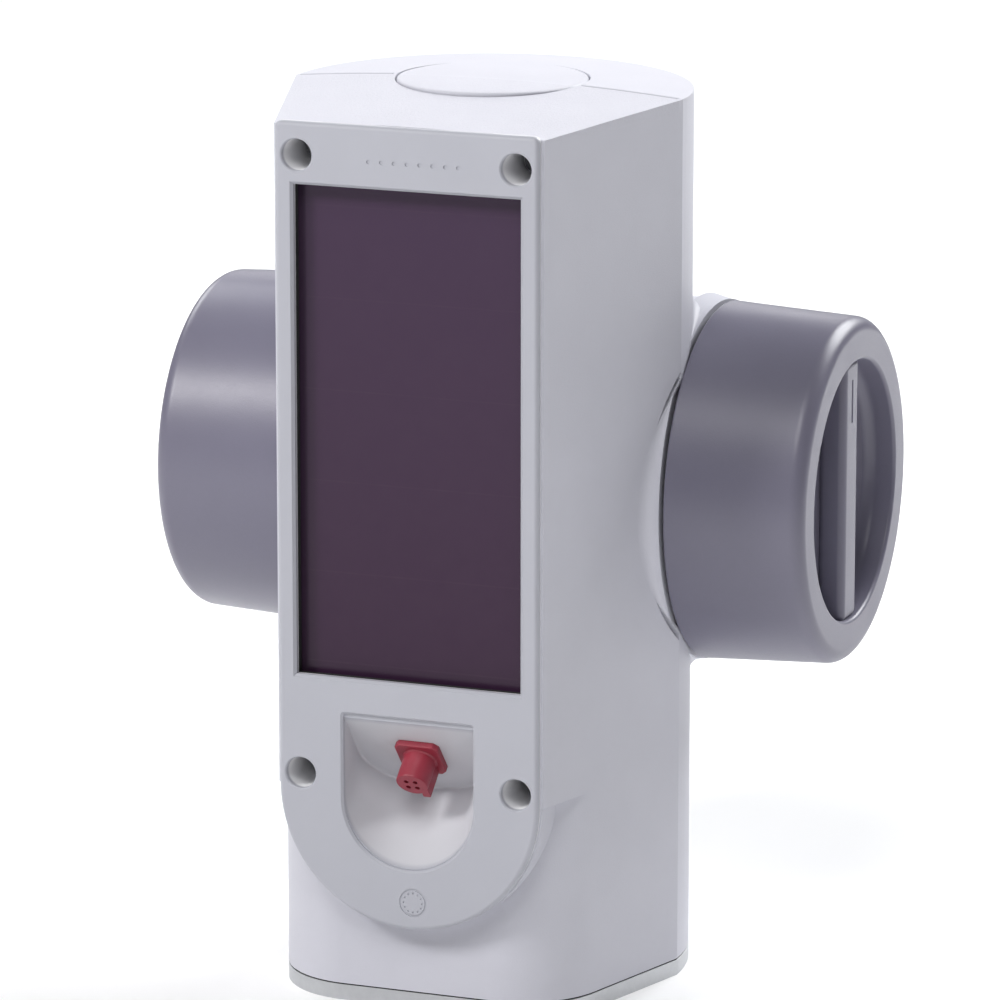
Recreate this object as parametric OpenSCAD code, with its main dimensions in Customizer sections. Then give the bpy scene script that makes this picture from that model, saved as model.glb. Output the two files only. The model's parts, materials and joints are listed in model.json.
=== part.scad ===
// Compact solar-powered parking pay station head on the top of its column.
// Origin: column axis at the underside of the base plate. +X is to the right when facing
// the solar side, the solar side looks along -Y, and +Z is up. Millimetres.

/* [Column] */
// Radius of the half-round user side in plan
column_r = 65; // [63:0.5:70]
// Distance from the column axis to the outer face of the solar cover
front_depth = 70; // [62:0.5:80]
// Width of the solar side at the cover's face
front_w = 87; // [86:1:90]
// How far the lower column stands back behind the cover's face
column_setback = 8; // [7:0.5:14]
// Radius of the lower column's front corners
column_corner_r = 28; // [10:0.5:32]
// Height of the crown above the underside of the base
total_h = 287.5; // [280:0.5:330]
// Wall of both moulded shells
wall = 3; // [2:0.1:4]
// Fall of the top facet from the crown to the solar side
facet_drop = 4.8; // [2:0.1:6]
// Radius of the top's crowning
crown_r = 690; // [500:5:1200]

/* [Solar cover] */
// Thickness of the cover plate
cover_t = 2.5; // [2:0.1:4]
// Height of the middle of the four cover screws
screw_mid_z = 174; // [172:0.5:180]
// Screw spacing across
screw_dx = 72; // [70:0.1:74]
// Screw spacing up
screw_dz = 196.6; // [190:0.1:200]
// Width of the solar window
window_w = 74.7; // [60:0.1:76]
// Height of the solar window
window_h = 155.5; // [120:0.1:157]
// Height of the window's middle above the screws' middle
window_up = 11.4; // [8:0.1:14]
// Thickness of the solar panel
panel_t = 2.2; // [1.5:0.1:2.5]
// Radius of the screw wells
well_r = 5; // [4.5:0.1:5.5]

/* [Service recess] */
// Half width of the D-shaped recess
recess_r = 21.75; // [18:0.05:24]
// Height of its flat top edge below the screws' middle
recess_top_down = 77.7; // [76:0.1:82]
// Tilt of its ceiling from the horizontal
recess_tilt = 49; // [42:1:55]
// Side of the socket's square flange
socket_flange = 14.6; // [12:0.1:16]
// Radius of the socket's barrel
socket_r = 5.2; // [4.5:0.1:6]
// Length of the socket from the ceiling to its tip
socket_len = 11.5; // [9:0.1:14]

/* [Knobs] */
// Distance of the knob axis behind the column axis
knob_y = 40.8; // [38:0.1:46]
// Height of the knob axis
knob_z = 154.4; // [148:0.1:160]
// Radius of a knob at its base
knob_r = 57.6; // [54:0.1:60]
// Radius of a knob at its outer end
knob_end_r = 55.65; // [52:0.05:58]
// Radius of the knob's rounded outer edge
knob_edge_r = 5; // [3:0.1:8]
// How far a knob stands out from its boss
knob_length = 46.2; // [40:0.1:56]
// Radius of the knob shafts
shaft_r = 6; // [4:0.1:7]

/* [Top button] */
// Radius of the top button
button_r = 30.3; // [24:0.1:32]
// Distance of the button's centre behind the column axis
button_y = 4.75; // [3:0.25:7]
// Travel of the top button
button_travel = 2; // [1:0.1:2.2]

/* [User side] */
// Radius of a key cap
key_r = 5.3; // [4:0.1:6]
// Travel of a key
key_travel = 1; // [0.5:0.1:1.2]
// Spacing of the keys
key_pitch = 22; // [18:0.5:24]
// Radius of the contactless reader's cover
reader_r = 22; // [18:0.5:23]
// Width of the card slot
slot_w = 56; // [55:0.5:58]
// Height of the card slot
slot_h = 4.6; // [4.4:0.1:5]

/* [Base] */
// Thickness of the base plate
base_t = 5; // [4.5:0.5:10]
// Thickness of the gasket on the base plate
base_gasket_t = 0.5; // [0.5:0.1:2]
// Radius of the cable bore
cable_r = 12.5; // [8:0.5:16]
// Radius of the four fixing holes
fixing_r = 4.5; // [3:0.1:5]
// Fixing hole spacing across
fixing_dx = 60; // [50:1:64]
// Fixing hole spacing from front to back
fixing_dy = 56; // [48:1:60]

/* [Hidden] */
$fn = 96;

run_fit = 0.05;      // radial clearance of a running fit
seat_gap = 0.3;      // gap between parts that move past each other
slip = 0.1;          // clearance of a part dropped into its recess
side_slope = (column_r - front_w / 2) / front_depth;
side_stretch = sqrt(1 + side_slope * side_slope);
side_angle = atan(side_slope);
head_proud = 0.01;   // the head's flanks stand this far out of the column's
shell_z = base_t + base_gasket_t;
ceiling_z = total_h - 8.5;

pad_y = -front_depth + cover_t;            // face that the cover lies on
face_y = -front_depth + column_setback;    // front of the lower column
wall_y = face_y + wall;                    // inside of the front wall
cover_half_w = front_w / 2 - 0.2;           // the cover stands in a little from the shoulder
shoulder_half_w = cover_half_w + 0.6;
cover_arc_z = screw_mid_z - 102.5;
cover_top_z = screw_mid_z + 108.7;
window_z = screw_mid_z + window_up;
panel_y = face_y - panel_t;                // outer face of the panel
panel_w = window_w + 4.6;
panel_h = window_h + 3.6;
gasket_t = panel_y - pad_y;                // the gasket fills the depth in front of the panel
screw_spots = [for (sx = [-1, 1], sz = [-1, 1]) [sx * screw_dx / 2, screw_mid_z + sz * screw_dz / 2]];
well_wall = 1.5;
well_depth = 20;                           // how far the wells reach behind the cover
well_floor = 2;
screw_r = 1.9;
head_t = 3.2;
base_screw_l = shell_z + 8.5;              // reach of a base screw's shank from its head

recess_top_z = screw_mid_z - recess_top_down;
recess_arc_z = recess_top_z - 27.2;
cup_wall = 2;
cup_back_y = 29 - front_depth;
scoop_r = recess_r + 2.25;                 // the scooped floor is a leaning cylinder
scoop_foot_z = recess_arc_z - recess_r;
socket_s = 19;                             // distance of the socket down the sloping ceiling
socket_back_r = 4.6;
flange_t = 2;
nut_t = 3;

knob_gap = 1.2;                            // between a boss and its knob
boss_r = knob_r + 0.4;
flare_r = boss_r + 1.5;
boss_x = column_r - 1.2;                   // end faces of the side bosses
knob_end_x = boss_x + knob_length;
knob_base_x = boss_x + knob_gap;
knob_wall = 3;
hub_r = 12;
dish_r = 42;
dish_depth = 10;
grip_w = 14;
bush_r = 10;
bush_flange_r = 13.5;
bush_flange_t = 1.5;
bush_in_x = boss_x - wall - 6;
shaft_in_x = boss_x - 33.8;
encoder_out_x = shaft_in_x + 14.5;
bracket_t = 3;
barrel_in_r = boss_r - wall;

cap_wall = 2.6;
stem_r = 5;
guide_t = 3;
guide_hub_z = ceiling_z - 15;
cap_bottom_z = ceiling_z + button_travel + seat_gap;
cap_under_z = total_h - cap_wall - 0.8;
stem_bottom_z = guide_hub_z - 6;
switch_top_z = stem_bottom_z - button_travel - seat_gap;
top_board_z = switch_top_z - 9.3;

land_half_h = 29.9;                        // half height of the flat land that the fascia lies on
land_y = knob_y + sqrt(boss_r * boss_r - land_half_h * land_half_h);
opening_half_w = 36;                       // opening in the barrel behind the fascia
opening_half_h = 24;
fascia_t = 3;
fascia_half_w = 50.7;
fascia_half_h = land_half_h - 0.2;
fascia_screw_x = 44;
fascia_screw_z = fascia_half_h - 5;
lens_t = 1.5;
display_t = 5.5;
board_t = 1.6;
display_mid_z = knob_z + 12;
display_w = 60;
display_h = 20;
lens_w = 66;
lens_h = 23;
front_board_y = land_y - lens_t - display_t - board_t;   // back of the front board
reader_front_y = front_board_y - 0.4;
key_z = knob_z - 8;
slot_z = knob_z - 19.8;
key_x = [-key_pitch, 0, key_pitch];

reader_z = total_h - 42;
reader_face_y = column_r + 3.5;
frame_y = 8;
frame_t = 3;
frame_half_w = encoder_out_x + 0.5;
frame_low_z = 70;
frame_high_z = 240;
frame_boss_x = 36;
frame_post_y = sqrt(pow(column_r - wall, 2) - frame_boss_x * frame_boss_x) + 1.5;
main_board_y = frame_y - 2 - board_t;      // solar-side face of the main board
reader_top_z = slot_z + 6.5;
reader_low_z = slot_z - 7.5;

holder_y = wall_y + 3;                     // front face of the battery holder
cell_r = 16.5;
cell_h = 61.5;
cell_x = 17.5;
cell_low_z = 119;
cell_y = holder_y + 2.3 + cell_r;
charge_y = wall_y + 5.4;                   // solar-side face of the charge board
lead_r = 1.1;
lead_hole_z = 250;

// Half width of the solar side's flank at y, drawn in by an inset square to the flank
function flank_x(y, inset = 0) = front_w / 2 + side_slope * (y + front_depth) - inset * side_stretch;

// Plan of the lower column's solar side: straight flanks and soft front corners
module soft_plan(inset, back = 0) {
    front = face_y + inset;
    corner = column_corner_r - inset;
    cy = front + corner;
    cx = flank_x(cy, inset + corner);
    tx = cx + corner * cos(side_angle);
    ty = cy - corner * sin(side_angle);
    polygon([
        [-tx, ty], [-cx, front], [cx, front], [tx, ty],
        [flank_x(back, inset), back], [-flank_x(back, inset), back]
    ]);
    for (side = [-1, 1]) translate([side * cx, cy]) circle(corner + 0.005);
}

// Plan of the head's solar side: straight flanks meeting the pad at sharp corners
module sharp_plan(front, inset, back = 0) {
    half_front = flank_x(front, inset) + head_proud;
    half_back = flank_x(back, inset) + head_proud;
    polygon([[-half_front, front], [half_front, front], [half_back, back], [-half_back, back]]);
}

// Plan of the half-round user side
module round_plan(inset) {
    intersection() {
        circle(column_r - inset, $fn = 180);
        translate([-column_r, 0]) square([2 * column_r, column_r]);
    }
}

// A shape drawn as X and Z, extruded along +Y from y0 to y1
module along_y(y0, y1) {
    translate([0, y1, 0]) rotate([90, 0, 0]) linear_extrude(y1 - y0) children();
}

// Outline with a flat top and a half-round foot, as X and Z
module tongue(half_w, top_z, arc_z) {
    translate([-half_w, arc_z]) square([2 * half_w, top_z - arc_z]);
    translate([0, arc_z]) circle(half_w, $fn = 128);
}

// Everything below the crowned top: a tilted cylinder over the solar side
module under_facet() {
    tilt = atan(facet_drop / front_depth);
    translate([0, 0, total_h]) rotate([tilt, 0, 0]) translate([0, 0, -crown_r])
        rotate([90, 0, 0]) cylinder(h = 300, r = crown_r, center = true, $fn = 400);
}

// Everything below the domed top over the user side
module under_dome() {
    translate([0, 0, total_h - crown_r]) sphere(crown_r, $fn = 360);
}

// A cylinder along X from x0 to x1 on the knob axis
module on_knob_axis(x0, x1, r0, r1) {
    translate([x0, knob_y, knob_z]) rotate([0, 90, 0]) cylinder(h = x1 - x0, r1 = r0, r2 = r1);
}

// A cylinder along Y from y0 to y1 at x and z
module post(x, z, y0, y1, r) {
    translate([x, y0, z]) rotate([-90, 0, 0]) cylinder(h = y1 - y0, r = r);
}

// Places children on the sloping ceiling of the recess: X across, Y down the slope, Z out of it
module on_ceiling(s) {
    translate([0, -front_depth, recess_top_z]) rotate([90 + 90 - recess_tilt, 0, 0])
        translate([0, -s, 0]) children();
}

// The space of the service recess, made larger all round by extra
module scoop(y0, y1, extra) {
    foot = -(recess_top_z - scoop_foot_z) * sin(recess_tilt);
    intersection() {
        along_y(y0, y1) tongue(recess_r + extra, recess_top_z + extra, recess_arc_z);
        on_ceiling(0) translate([0, foot + scoop_r, -extra]) union() {
            cylinder(h = 90, r = scoop_r + extra);
            translate([-scoop_r - extra, 0, 0]) cube([2 * (scoop_r + extra), 60, 90]);
        }
    }
}

// ---- base ----

module base_plate() {
    color([0.62, 0.63, 0.66]) difference() {
        linear_extrude(base_t) {
            soft_plan(0);
            round_plan(0);
        }
        translate([0, 0, -1]) cylinder(h = base_t + 2, r = cable_r);
        for (sx = [-1, 1], sy = [-1, 1])
            translate([sx * fixing_dx / 2, sy * fixing_dy / 2, -1]) cylinder(h = base_t + 2, r = fixing_r);
        for (spot = base_spots) translate([spot[0], spot[1], -1]) {
            cylinder(h = base_t + 2, r = 1.8);
            cylinder(h = 3.6, r = 3.4);
        }
    }
}

base_front_x = flank_x(-20, wall) - 4.7;   // the bosses of the base screws stand against the wall
base_rear_r = column_r - wall - 3.6;
base_rear_x = base_rear_r * cos(38);
base_rear_y = base_rear_r * sin(38);
base_spots = [
    [-base_front_x, -20], [base_front_x, -20],
    [-base_rear_x, base_rear_y], [base_rear_x, base_rear_y]
];

module base_gasket() {
    color([0.12, 0.12, 0.13]) translate([0, 0, base_t]) linear_extrude(base_gasket_t) difference() {
        union() {
            soft_plan(0.3);
            round_plan(0.3);
        }
        union() {
            soft_plan(wall);
            round_plan(wall);
        }
    }
}

module base_screws() {
    color([0.75, 0.75, 0.76]) for (spot = base_spots) translate([spot[0], spot[1], 0]) {
        translate([0, 0, 0.4]) cylinder(h = 2.2, r = 3.1);
        translate([0, 0, 2.6]) cylinder(h = base_screw_l, r = 1.5);
    }
}

// ---- shells ----

post_spots = [for (sx = [-1, 1], z = [30, 258]) [sx * (column_r - 15), z]];

module solar_side_shell() {
    color([0.88, 0.88, 0.91]) difference() {
        union() {
            intersection() {
                difference() {
                    union() {
                        translate([0, 0, shell_z]) linear_extrude(total_h - shell_z) soft_plan(0);
                        intersection() {
                            translate([0, 0, shell_z]) linear_extrude(total_h - shell_z) sharp_plan(pad_y, 0);
                            along_y(pad_y, 0) tongue(flank_x(0), total_h, cover_arc_z);
                            along_y(pad_y, 0) shoulder();
                        }
                    }
                    translate([0, 0, shell_z - 1]) linear_extrude(ceiling_z - shell_z + 1) soft_plan(wall, 1);
                    intersection() {
                        translate([0, 0, shell_z]) linear_extrude(ceiling_z - shell_z)
                            sharp_plan(wall_y, wall, 1);
                        along_y(wall_y - 1, 2) translate([-column_r, cover_arc_z])
                            square([2 * column_r, total_h]);
                    }
                    intersection() {
                        translate([0, 0, shell_z]) linear_extrude(ceiling_z - shell_z)
                            sharp_plan(pad_y + wall, wall, 1);
                        along_y(pad_y + wall, wall_y + 1) pad_hollow();
                    }
                }
                under_facet();
            }
            for (spot = screw_spots) post(spot[0], spot[1], pad_y + 1, pad_y + well_depth + 9, 7.8);
            for (spot = post_spots) post(spot[0], spot[1], -26, 0, 6);
            for (spot = base_spots) if (spot[1] < 0)
                translate([spot[0], spot[1], shell_z]) cylinder(h = 14, r = 5);
            for (sx = [-1, 1], z = [cell_low_z + 12, cell_low_z + 50])
                post(sx * 32, z, wall_y - 1, holder_y, 3.5);
            for (sx = [-1, 1], z = [206, 236]) post(sx * 26, z, wall_y - 1, charge_y, 3);
        }
        translate([-panel_w / 2 - slip, pad_y - 1, window_z - panel_h / 2 - slip])
            cube([panel_w + 2 * slip, face_y - pad_y + 1, panel_h + 2 * slip]);
        along_y(pad_y - 1, wall_y + 1)
            tongue(recess_r + cup_wall + slip, recess_top_z + 3 + slip, recess_arc_z);
        for (spot = screw_spots) {
            post(spot[0], spot[1], pad_y - 1, pad_y + well_depth + slip, well_r + well_wall + slip);
            post(spot[0], spot[1], pad_y, pad_y + well_depth + 8, screw_r + run_fit);
        }
        for (spot = post_spots) post(spot[0], spot[1], -22, 1, screw_r + run_fit);
        for (spot = base_spots) translate([spot[0], spot[1], shell_z - 1]) cylinder(h = 14, r = 1.55);
        translate([0, button_y, ceiling_z - 1]) cylinder(h = 20, r = button_r + 0.5);
        for (side = [0, 1]) mirror([side, 0, 0]) on_knob_axis(40, 80, flare_r + 0.3, flare_r + 0.3);
        post(0, lead_hole_z, face_y - 1, wall_y + 1, 2.5);
    }
}

// Outline of the head above the column on the solar side, as X and Z
module shoulder() {
    translate([-column_r, cover_arc_z]) square([2 * column_r, total_h]);
    translate([0, cover_arc_z]) circle(shoulder_half_w, $fn = 128);
}

// Hollow behind the pad, round the panel's pocket and the recess, as X and Z
module pad_hollow() {
    pocket_foot = window_z - panel_h / 2;
    difference() {
        union() {
            translate([-column_r, cover_arc_z]) square([2 * column_r, total_h]);
            translate([0, cover_arc_z]) circle(shoulder_half_w - wall, $fn = 128);
        }
        translate([-column_r, pocket_foot - wall]) square([2 * column_r, panel_h + 2 * wall]);
        tongue(recess_r + cup_wall + wall, pocket_foot, recess_arc_z);
    }
}

module user_side_shell() {
    color([0.9, 0.9, 0.93]) difference() {
        union() {
            difference() {
                union() {
                    intersection() {
                        translate([0, 0, shell_z]) linear_extrude(total_h - shell_z) round_plan(0);
                        under_dome();
                    }
                    intersection() {
                        on_knob_axis(-boss_x, boss_x, boss_r, boss_r);
                        translate([-100, 0, 0]) cube([200, land_y + 20, total_h]);
                    }
                    for (side = [0, 1]) mirror([side, 0, 0]) {
                        on_knob_axis(bush_in_x + 2, boss_x, boss_r, boss_r);
                        on_knob_axis(bush_in_x + 2, boss_x - 1, flare_r, boss_r);
                    }
                    post(0, reader_z, column_r - 12, reader_face_y, reader_r + 3.5);
                }
                translate([0, 0, shell_z - 1]) linear_extrude(ceiling_z - shell_z + 1) difference() {
                    circle(column_r - wall, $fn = 180);
                    translate([-column_r, -column_r - 1]) square([2 * column_r, column_r + 1]);
                }
                on_knob_axis(-boss_x + wall, boss_x - wall, barrel_in_r, barrel_in_r);
                for (side = [0, 1]) mirror([side, 0, 0]) on_knob_axis(boss_x, boss_x + 3, boss_r, boss_r);
            }
            intersection() {
                on_knob_axis(-boss_x, boss_x, barrel_in_r + 0.5, barrel_in_r + 0.5);
                union() {
                    for (side = [0, 1]) mirror([side, 0, 0])
                        translate([fascia_half_w + 0.3, land_y - 6, 0]) cube([wall, 20, total_h]);
                    for (sx = [-1, 1], sz = [-1, 1])
                        post(sx * fascia_screw_x, knob_z + sz * fascia_screw_z, land_y - 12, land_y, 3.9);
                }
            }
            intersection() {
                for (spot = post_spots) post(spot[0], spot[1], 0, 40, 6);
                linear_extrude(total_h) round_plan(0.5);
            }
            for (sx = [-1, 1], z = [frame_low_z + 8, frame_high_z - 8])
                post(sx * frame_boss_x, z, frame_y + frame_t, frame_post_y, 4.5);
            for (spot = base_spots) if (spot[1] > 0)
                translate([spot[0], spot[1], shell_z]) cylinder(h = 14, r = 5);
        }
        translate([-fascia_half_w - 0.3, land_y, knob_z - 40]) cube([2 * fascia_half_w + 0.6, 30, 80]);
        translate([-opening_half_w, land_y - 8, knob_z - opening_half_h])
            cube([2 * opening_half_w, 9, 2 * opening_half_h]);
        for (sx = [-1, 1], sz = [-1, 1])
            post(sx * fascia_screw_x, knob_z + sz * fascia_screw_z, land_y - 9, land_y + 1, 1.55);
        for (spot = post_spots) {
            post(spot[0], spot[1], -1, 12, screw_r + 0.3);
            post(spot[0], spot[1], 9, 70, 4.2);
        }
        for (sx = [-1, 1], z = [frame_low_z + 8, frame_high_z - 8])
            post(sx * frame_boss_x, z, frame_y, frame_y + frame_t + 12, 1.55);
        for (spot = base_spots) translate([spot[0], spot[1], shell_z - 1]) cylinder(h = 14, r = 1.55);
        post(0, reader_z, reader_face_y - 5, reader_face_y + 1, reader_r + slip);
        post(0, reader_z, column_r - 14, reader_face_y, 2.5);
        translate([0, button_y, ceiling_z - 1]) cylinder(h = 20, r = button_r + 0.5);
        on_knob_axis(-boss_x - 1, boss_x + 1, bush_r + run_fit, bush_r + run_fit);
    }
}

module shell_screws() {
    color([0.75, 0.75, 0.76]) for (spot = post_spots) {
        post(spot[0], spot[1], -18, 9.1, screw_r);
        post(spot[0], spot[1], 9.1, 12.4, 3.6);
    }
}

// ---- solar side ----

module solar_cover() {
    color([0.9, 0.91, 0.94]) difference() {
        union() {
            along_y(-front_depth, pad_y) intersection() {
                tongue(cover_half_w, total_h, cover_arc_z);
                translate([-100, 0]) square([200, cover_top_z]);
            }
            for (spot = screw_spots)
                post(spot[0], spot[1], pad_y - 1, pad_y + well_depth, well_r + well_wall);
            intersection() {
                scoop(pad_y - 1, cup_back_y, cup_wall);
                along_y(pad_y - 1, cup_back_y) tongue(recess_r + cup_wall, recess_top_z + 3, recess_arc_z);
            }
        }
        translate([-window_w / 2, -front_depth - 1, window_z - window_h / 2])
            cube([window_w, cover_t + 2, window_h]);
        scoop(-front_depth - 1, cup_back_y + 6, 0);
        for (spot = screw_spots) {
            post(spot[0], spot[1], -front_depth - 1, pad_y + well_depth - well_floor, well_r);
            post(spot[0], spot[1], -front_depth, pad_y + well_depth + 1, screw_r + 0.3);
        }
        on_ceiling(socket_s) translate([0, 0, -10]) cylinder(h = 11, r = socket_back_r + slip);
    }
}

module cover_screws() {
    seat_y = pad_y + well_depth - well_floor;
    color([0.45, 0.46, 0.48]) for (spot = screw_spots) difference() {
        union() {
            post(spot[0], spot[1], seat_y - head_t, seat_y, 3.6);
            post(spot[0], spot[1], seat_y - 1, seat_y + well_floor + 7, screw_r);
        }
        translate([spot[0], seat_y - head_t - 0.1, spot[1]]) rotate([-90, 0, 0])
            cylinder(h = 1.9, r = 1.75, $fn = 6);
    }
}

module solar_panel() {
    color([0.27, 0.2, 0.28]) translate([-panel_w / 2, panel_y, window_z - panel_h / 2])
        cube([panel_w, panel_t, panel_h]);
}

module panel_gasket() {
    color([0.1, 0.1, 0.11]) difference() {
        translate([-panel_w / 2, pad_y, window_z - panel_h / 2]) cube([panel_w, gasket_t, panel_h]);
        translate([-window_w / 2 - 0.4, pad_y - 1, window_z - window_h / 2 - 0.4])
            cube([window_w + 0.8, gasket_t + 2, window_h + 0.8]);
    }
}

contact_spots = [for (a = [45 : 90 : 315]) [2.1 * cos(a), 2.1 * sin(a)]];

module service_socket() {
    cut = socket_flange / 2 - 1.6;
    half = socket_flange / 2;
    color([0.7, 0.2, 0.22]) on_ceiling(socket_s) difference() {
        union() {
            linear_extrude(flange_t) polygon([
                [-cut, -half], [cut, -half], [half, -cut], [half, cut],
                [cut, half], [-cut, half], [-half, cut], [-half, -cut]
            ]);
            cylinder(h = socket_len, r = socket_r);
            translate([2.2, -socket_r - 1.2, 0]) cube([2.6, 4, socket_len]);
            translate([0, 0, -cup_wall - nut_t - 2]) cylinder(h = cup_wall + nut_t + 3, r = socket_back_r);
        }
        for (spot = contact_spots) translate([spot[0], spot[1], -9]) cylinder(h = socket_len + 10, r = 0.75);
    }
}

module socket_contacts() {
    color([0.8, 0.65, 0.3]) on_ceiling(socket_s) for (spot = contact_spots)
        translate([spot[0], spot[1], -10]) cylinder(h = socket_len + 8.5, r = 0.72);
}

module socket_nut() {
    color([0.75, 0.75, 0.76]) on_ceiling(socket_s) translate([0, 0, -cup_wall - nut_t]) difference() {
        cylinder(h = nut_t, r = 7.2, $fn = 6);
        translate([0, 0, -1]) cylinder(h = nut_t + 2, r = socket_back_r + run_fit);
    }
}

// ---- top button ----

module top_button() {
    color([0.9, 0.9, 0.93]) translate([0, button_y, 0]) difference() {
        intersection() {
            translate([0, 0, cap_bottom_z]) cylinder(h = 20, r = button_r, $fn = 128);
            translate([0, -button_y, 0]) under_dome();
        }
        translate([0, 0, cap_bottom_z - 1]) cylinder(h = cap_under_z - cap_bottom_z + 1, r = button_r - 2.4);
    }
}

module button_stem() {
    color([0.3, 0.3, 0.32]) translate([0, button_y, 0]) rotate_extrude() polygon([
        [0, stem_bottom_z], [stem_r, stem_bottom_z], [stem_r, guide_hub_z - 1.6],
        [stem_r - 0.9, guide_hub_z - 1.6], [stem_r - 0.9, guide_hub_z - seat_gap],
        [stem_r, guide_hub_z - seat_gap], [stem_r, cap_under_z - 1.5], [12, cap_under_z - 1.5],
        [12, cap_under_z], [0, cap_under_z]
    ]);
}

module button_clip() {
    color([0.75, 0.75, 0.76]) translate([0, button_y, guide_hub_z - 1.5]) difference() {
        cylinder(h = 1.1, r = 8);
        translate([0, 0, -1]) cylinder(h = 3, r = stem_r - 0.85);
        translate([-2.6, 0, -1]) cube([5.2, 10, 3]);
    }
}

module button_guide() {
    color([0.3, 0.3, 0.32]) translate([0, button_y, 0]) difference() {
        union() {
            translate([0, 0, ceiling_z - guide_t]) cylinder(h = guide_t, r = button_r + 5.5);
            translate([0, 0, guide_hub_z]) cylinder(h = ceiling_z - guide_hub_z, r = 9);
        }
        translate([0, 0, guide_hub_z - 1]) cylinder(h = 40, r = stem_r + run_fit);
        translate([0, 0, ceiling_z - 1.4]) difference() {
            cylinder(h = 3, r = 15.5);
            translate([0, 0, -1]) cylinder(h = 5, r = 7.4);
        }
    }
}

module button_spring() {
    low = ceiling_z - 1.4;
    high = cap_under_z - 1.5;
    turns = 4;
    wire = 0.6;
    step = (high - low - 2 * wire) / (turns - 1);
    color([0.75, 0.75, 0.76]) translate([0, button_y, 0]) {
        for (i = [0 : turns - 1]) translate([0, 0, low + wire + i * step])
            rotate_extrude() translate([9.5, 0]) circle(wire, $fn = 16);
        translate([9.2, -wire / 2, low + wire]) cube([0.6, wire, high - low - 2 * wire]);
    }
}

module top_switch() {
    color([0.15, 0.15, 0.16]) translate([0, button_y, top_board_z + board_t]) {
        translate([-6, -6, 0]) cube([12, 12, switch_top_z - top_board_z - board_t - 1.2]);
        cylinder(h = switch_top_z - top_board_z - board_t, r = 1.8);
    }
}

module top_board() {
    color([0.12, 0.4, 0.25]) translate([-24, button_y - 14, top_board_z]) cube([48, 28, board_t]);
}

// ---- knobs ----

// Half-section of a knob as radius and distance from the column axis
module knob_section() {
    slope = (knob_r - knob_end_r) / (knob_end_x - knob_edge_r - knob_base_x);
    edge_x = knob_end_x - knob_edge_r;
    difference() {
        union() {
            polygon([
                [0, knob_base_x], [knob_r, knob_base_x], [knob_end_r, edge_x], [0, edge_x]
            ]);
            square([knob_end_r - knob_edge_r, knob_end_x]);
            translate([knob_end_r - knob_edge_r, edge_x]) circle(knob_edge_r);
        }
        square([200, knob_base_x]);
        polygon([
            [hub_r, 0], [knob_r - knob_wall, 0], [knob_r - knob_wall, knob_base_x],
            [knob_end_r - knob_wall - 1, edge_x - 6], [dish_r + 3, edge_x - 6],
            [dish_r + 3, knob_end_x - dish_depth - knob_wall], [hub_r, knob_end_x - dish_depth - knob_wall]
        ]);
        square([hub_r + 1, knob_base_x + 3]);
        translate([0, knob_end_x - dish_depth]) square([dish_r, dish_depth + 1]);
    }
}

module knob() {
    difference() {
        union() {
            translate([0, knob_y, knob_z]) rotate([0, 90, 0]) rotate_extrude($fn = 180) knob_section();
            intersection() {
                on_knob_axis(knob_end_x - dish_depth - 1, knob_end_x - 1.5, dish_r + 1, dish_r + 1);
                translate([0, knob_y - grip_w / 2, knob_z - 100]) cube([200, grip_w, 200]);
            }
        }
        on_knob_axis(0, knob_end_x - dish_depth - 1, shaft_r + 0.02, shaft_r + 0.02);
    }
}

module left_knob() {
    color([0.43, 0.42, 0.47]) mirror([1, 0, 0]) knob();
}

module right_knob() {
    color([0.43, 0.42, 0.47]) knob();
}

module knob_shaft() {
    clip_x = bush_in_x - 1.5;
    difference() {
        on_knob_axis(shaft_in_x, knob_end_x - dish_depth - 1, shaft_r, shaft_r);
        difference() {
            on_knob_axis(clip_x, clip_x + 1.1, shaft_r + 1, shaft_r + 1);
            on_knob_axis(clip_x - 1, clip_x + 3, shaft_r - 0.9, shaft_r - 0.9);
        }
    }
}

module left_shaft() {
    color([0.78, 0.78, 0.8]) mirror([1, 0, 0]) knob_shaft();
}

module right_shaft() {
    color([0.78, 0.78, 0.8]) knob_shaft();
}

module shaft_clip() {
    clip_x = bush_in_x - 1.45;
    difference() {
        on_knob_axis(clip_x, clip_x + 1, shaft_r + 3, shaft_r + 3);
        on_knob_axis(clip_x - 1, clip_x + 3, shaft_r - 0.85, shaft_r - 0.85);
        translate([clip_x - 1, knob_y, knob_z - 3]) cube([4, 20, 6]);
    }
}

module left_shaft_clip() {
    color([0.3, 0.3, 0.32]) mirror([1, 0, 0]) shaft_clip();
}

module right_shaft_clip() {
    color([0.3, 0.3, 0.32]) shaft_clip();
}

module shaft_bushes() {
    color([0.78, 0.62, 0.3]) for (side = [0, 1]) mirror([side, 0, 0]) difference() {
        union() {
            on_knob_axis(bush_in_x, boss_x + bush_flange_t, bush_r, bush_r);
            on_knob_axis(boss_x, boss_x + bush_flange_t, bush_flange_r, bush_flange_r);
        }
        on_knob_axis(bush_in_x - 1, boss_x + 5, shaft_r + run_fit, shaft_r + run_fit);
    }
}

module bush_nuts() {
    nut_x = boss_x - wall;
    color([0.75, 0.75, 0.76]) for (side = [0, 1]) mirror([side, 0, 0]) difference() {
        translate([nut_x - 3.5, knob_y, knob_z]) rotate([0, 90, 0]) cylinder(h = 3.5, r = 15, $fn = 6);
        on_knob_axis(nut_x - 5, nut_x + 1, bush_r + 0.02, bush_r + 0.02);
    }
}

module bush_seals() {
    color([0.08, 0.08, 0.09]) for (side = [0, 1]) mirror([side, 0, 0])
        translate([boss_x + 0.75, knob_y, knob_z]) rotate([0, 90, 0])
            rotate_extrude() translate([bush_flange_r + 0.8, 0]) circle(0.75, $fn = 24);
}

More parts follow.
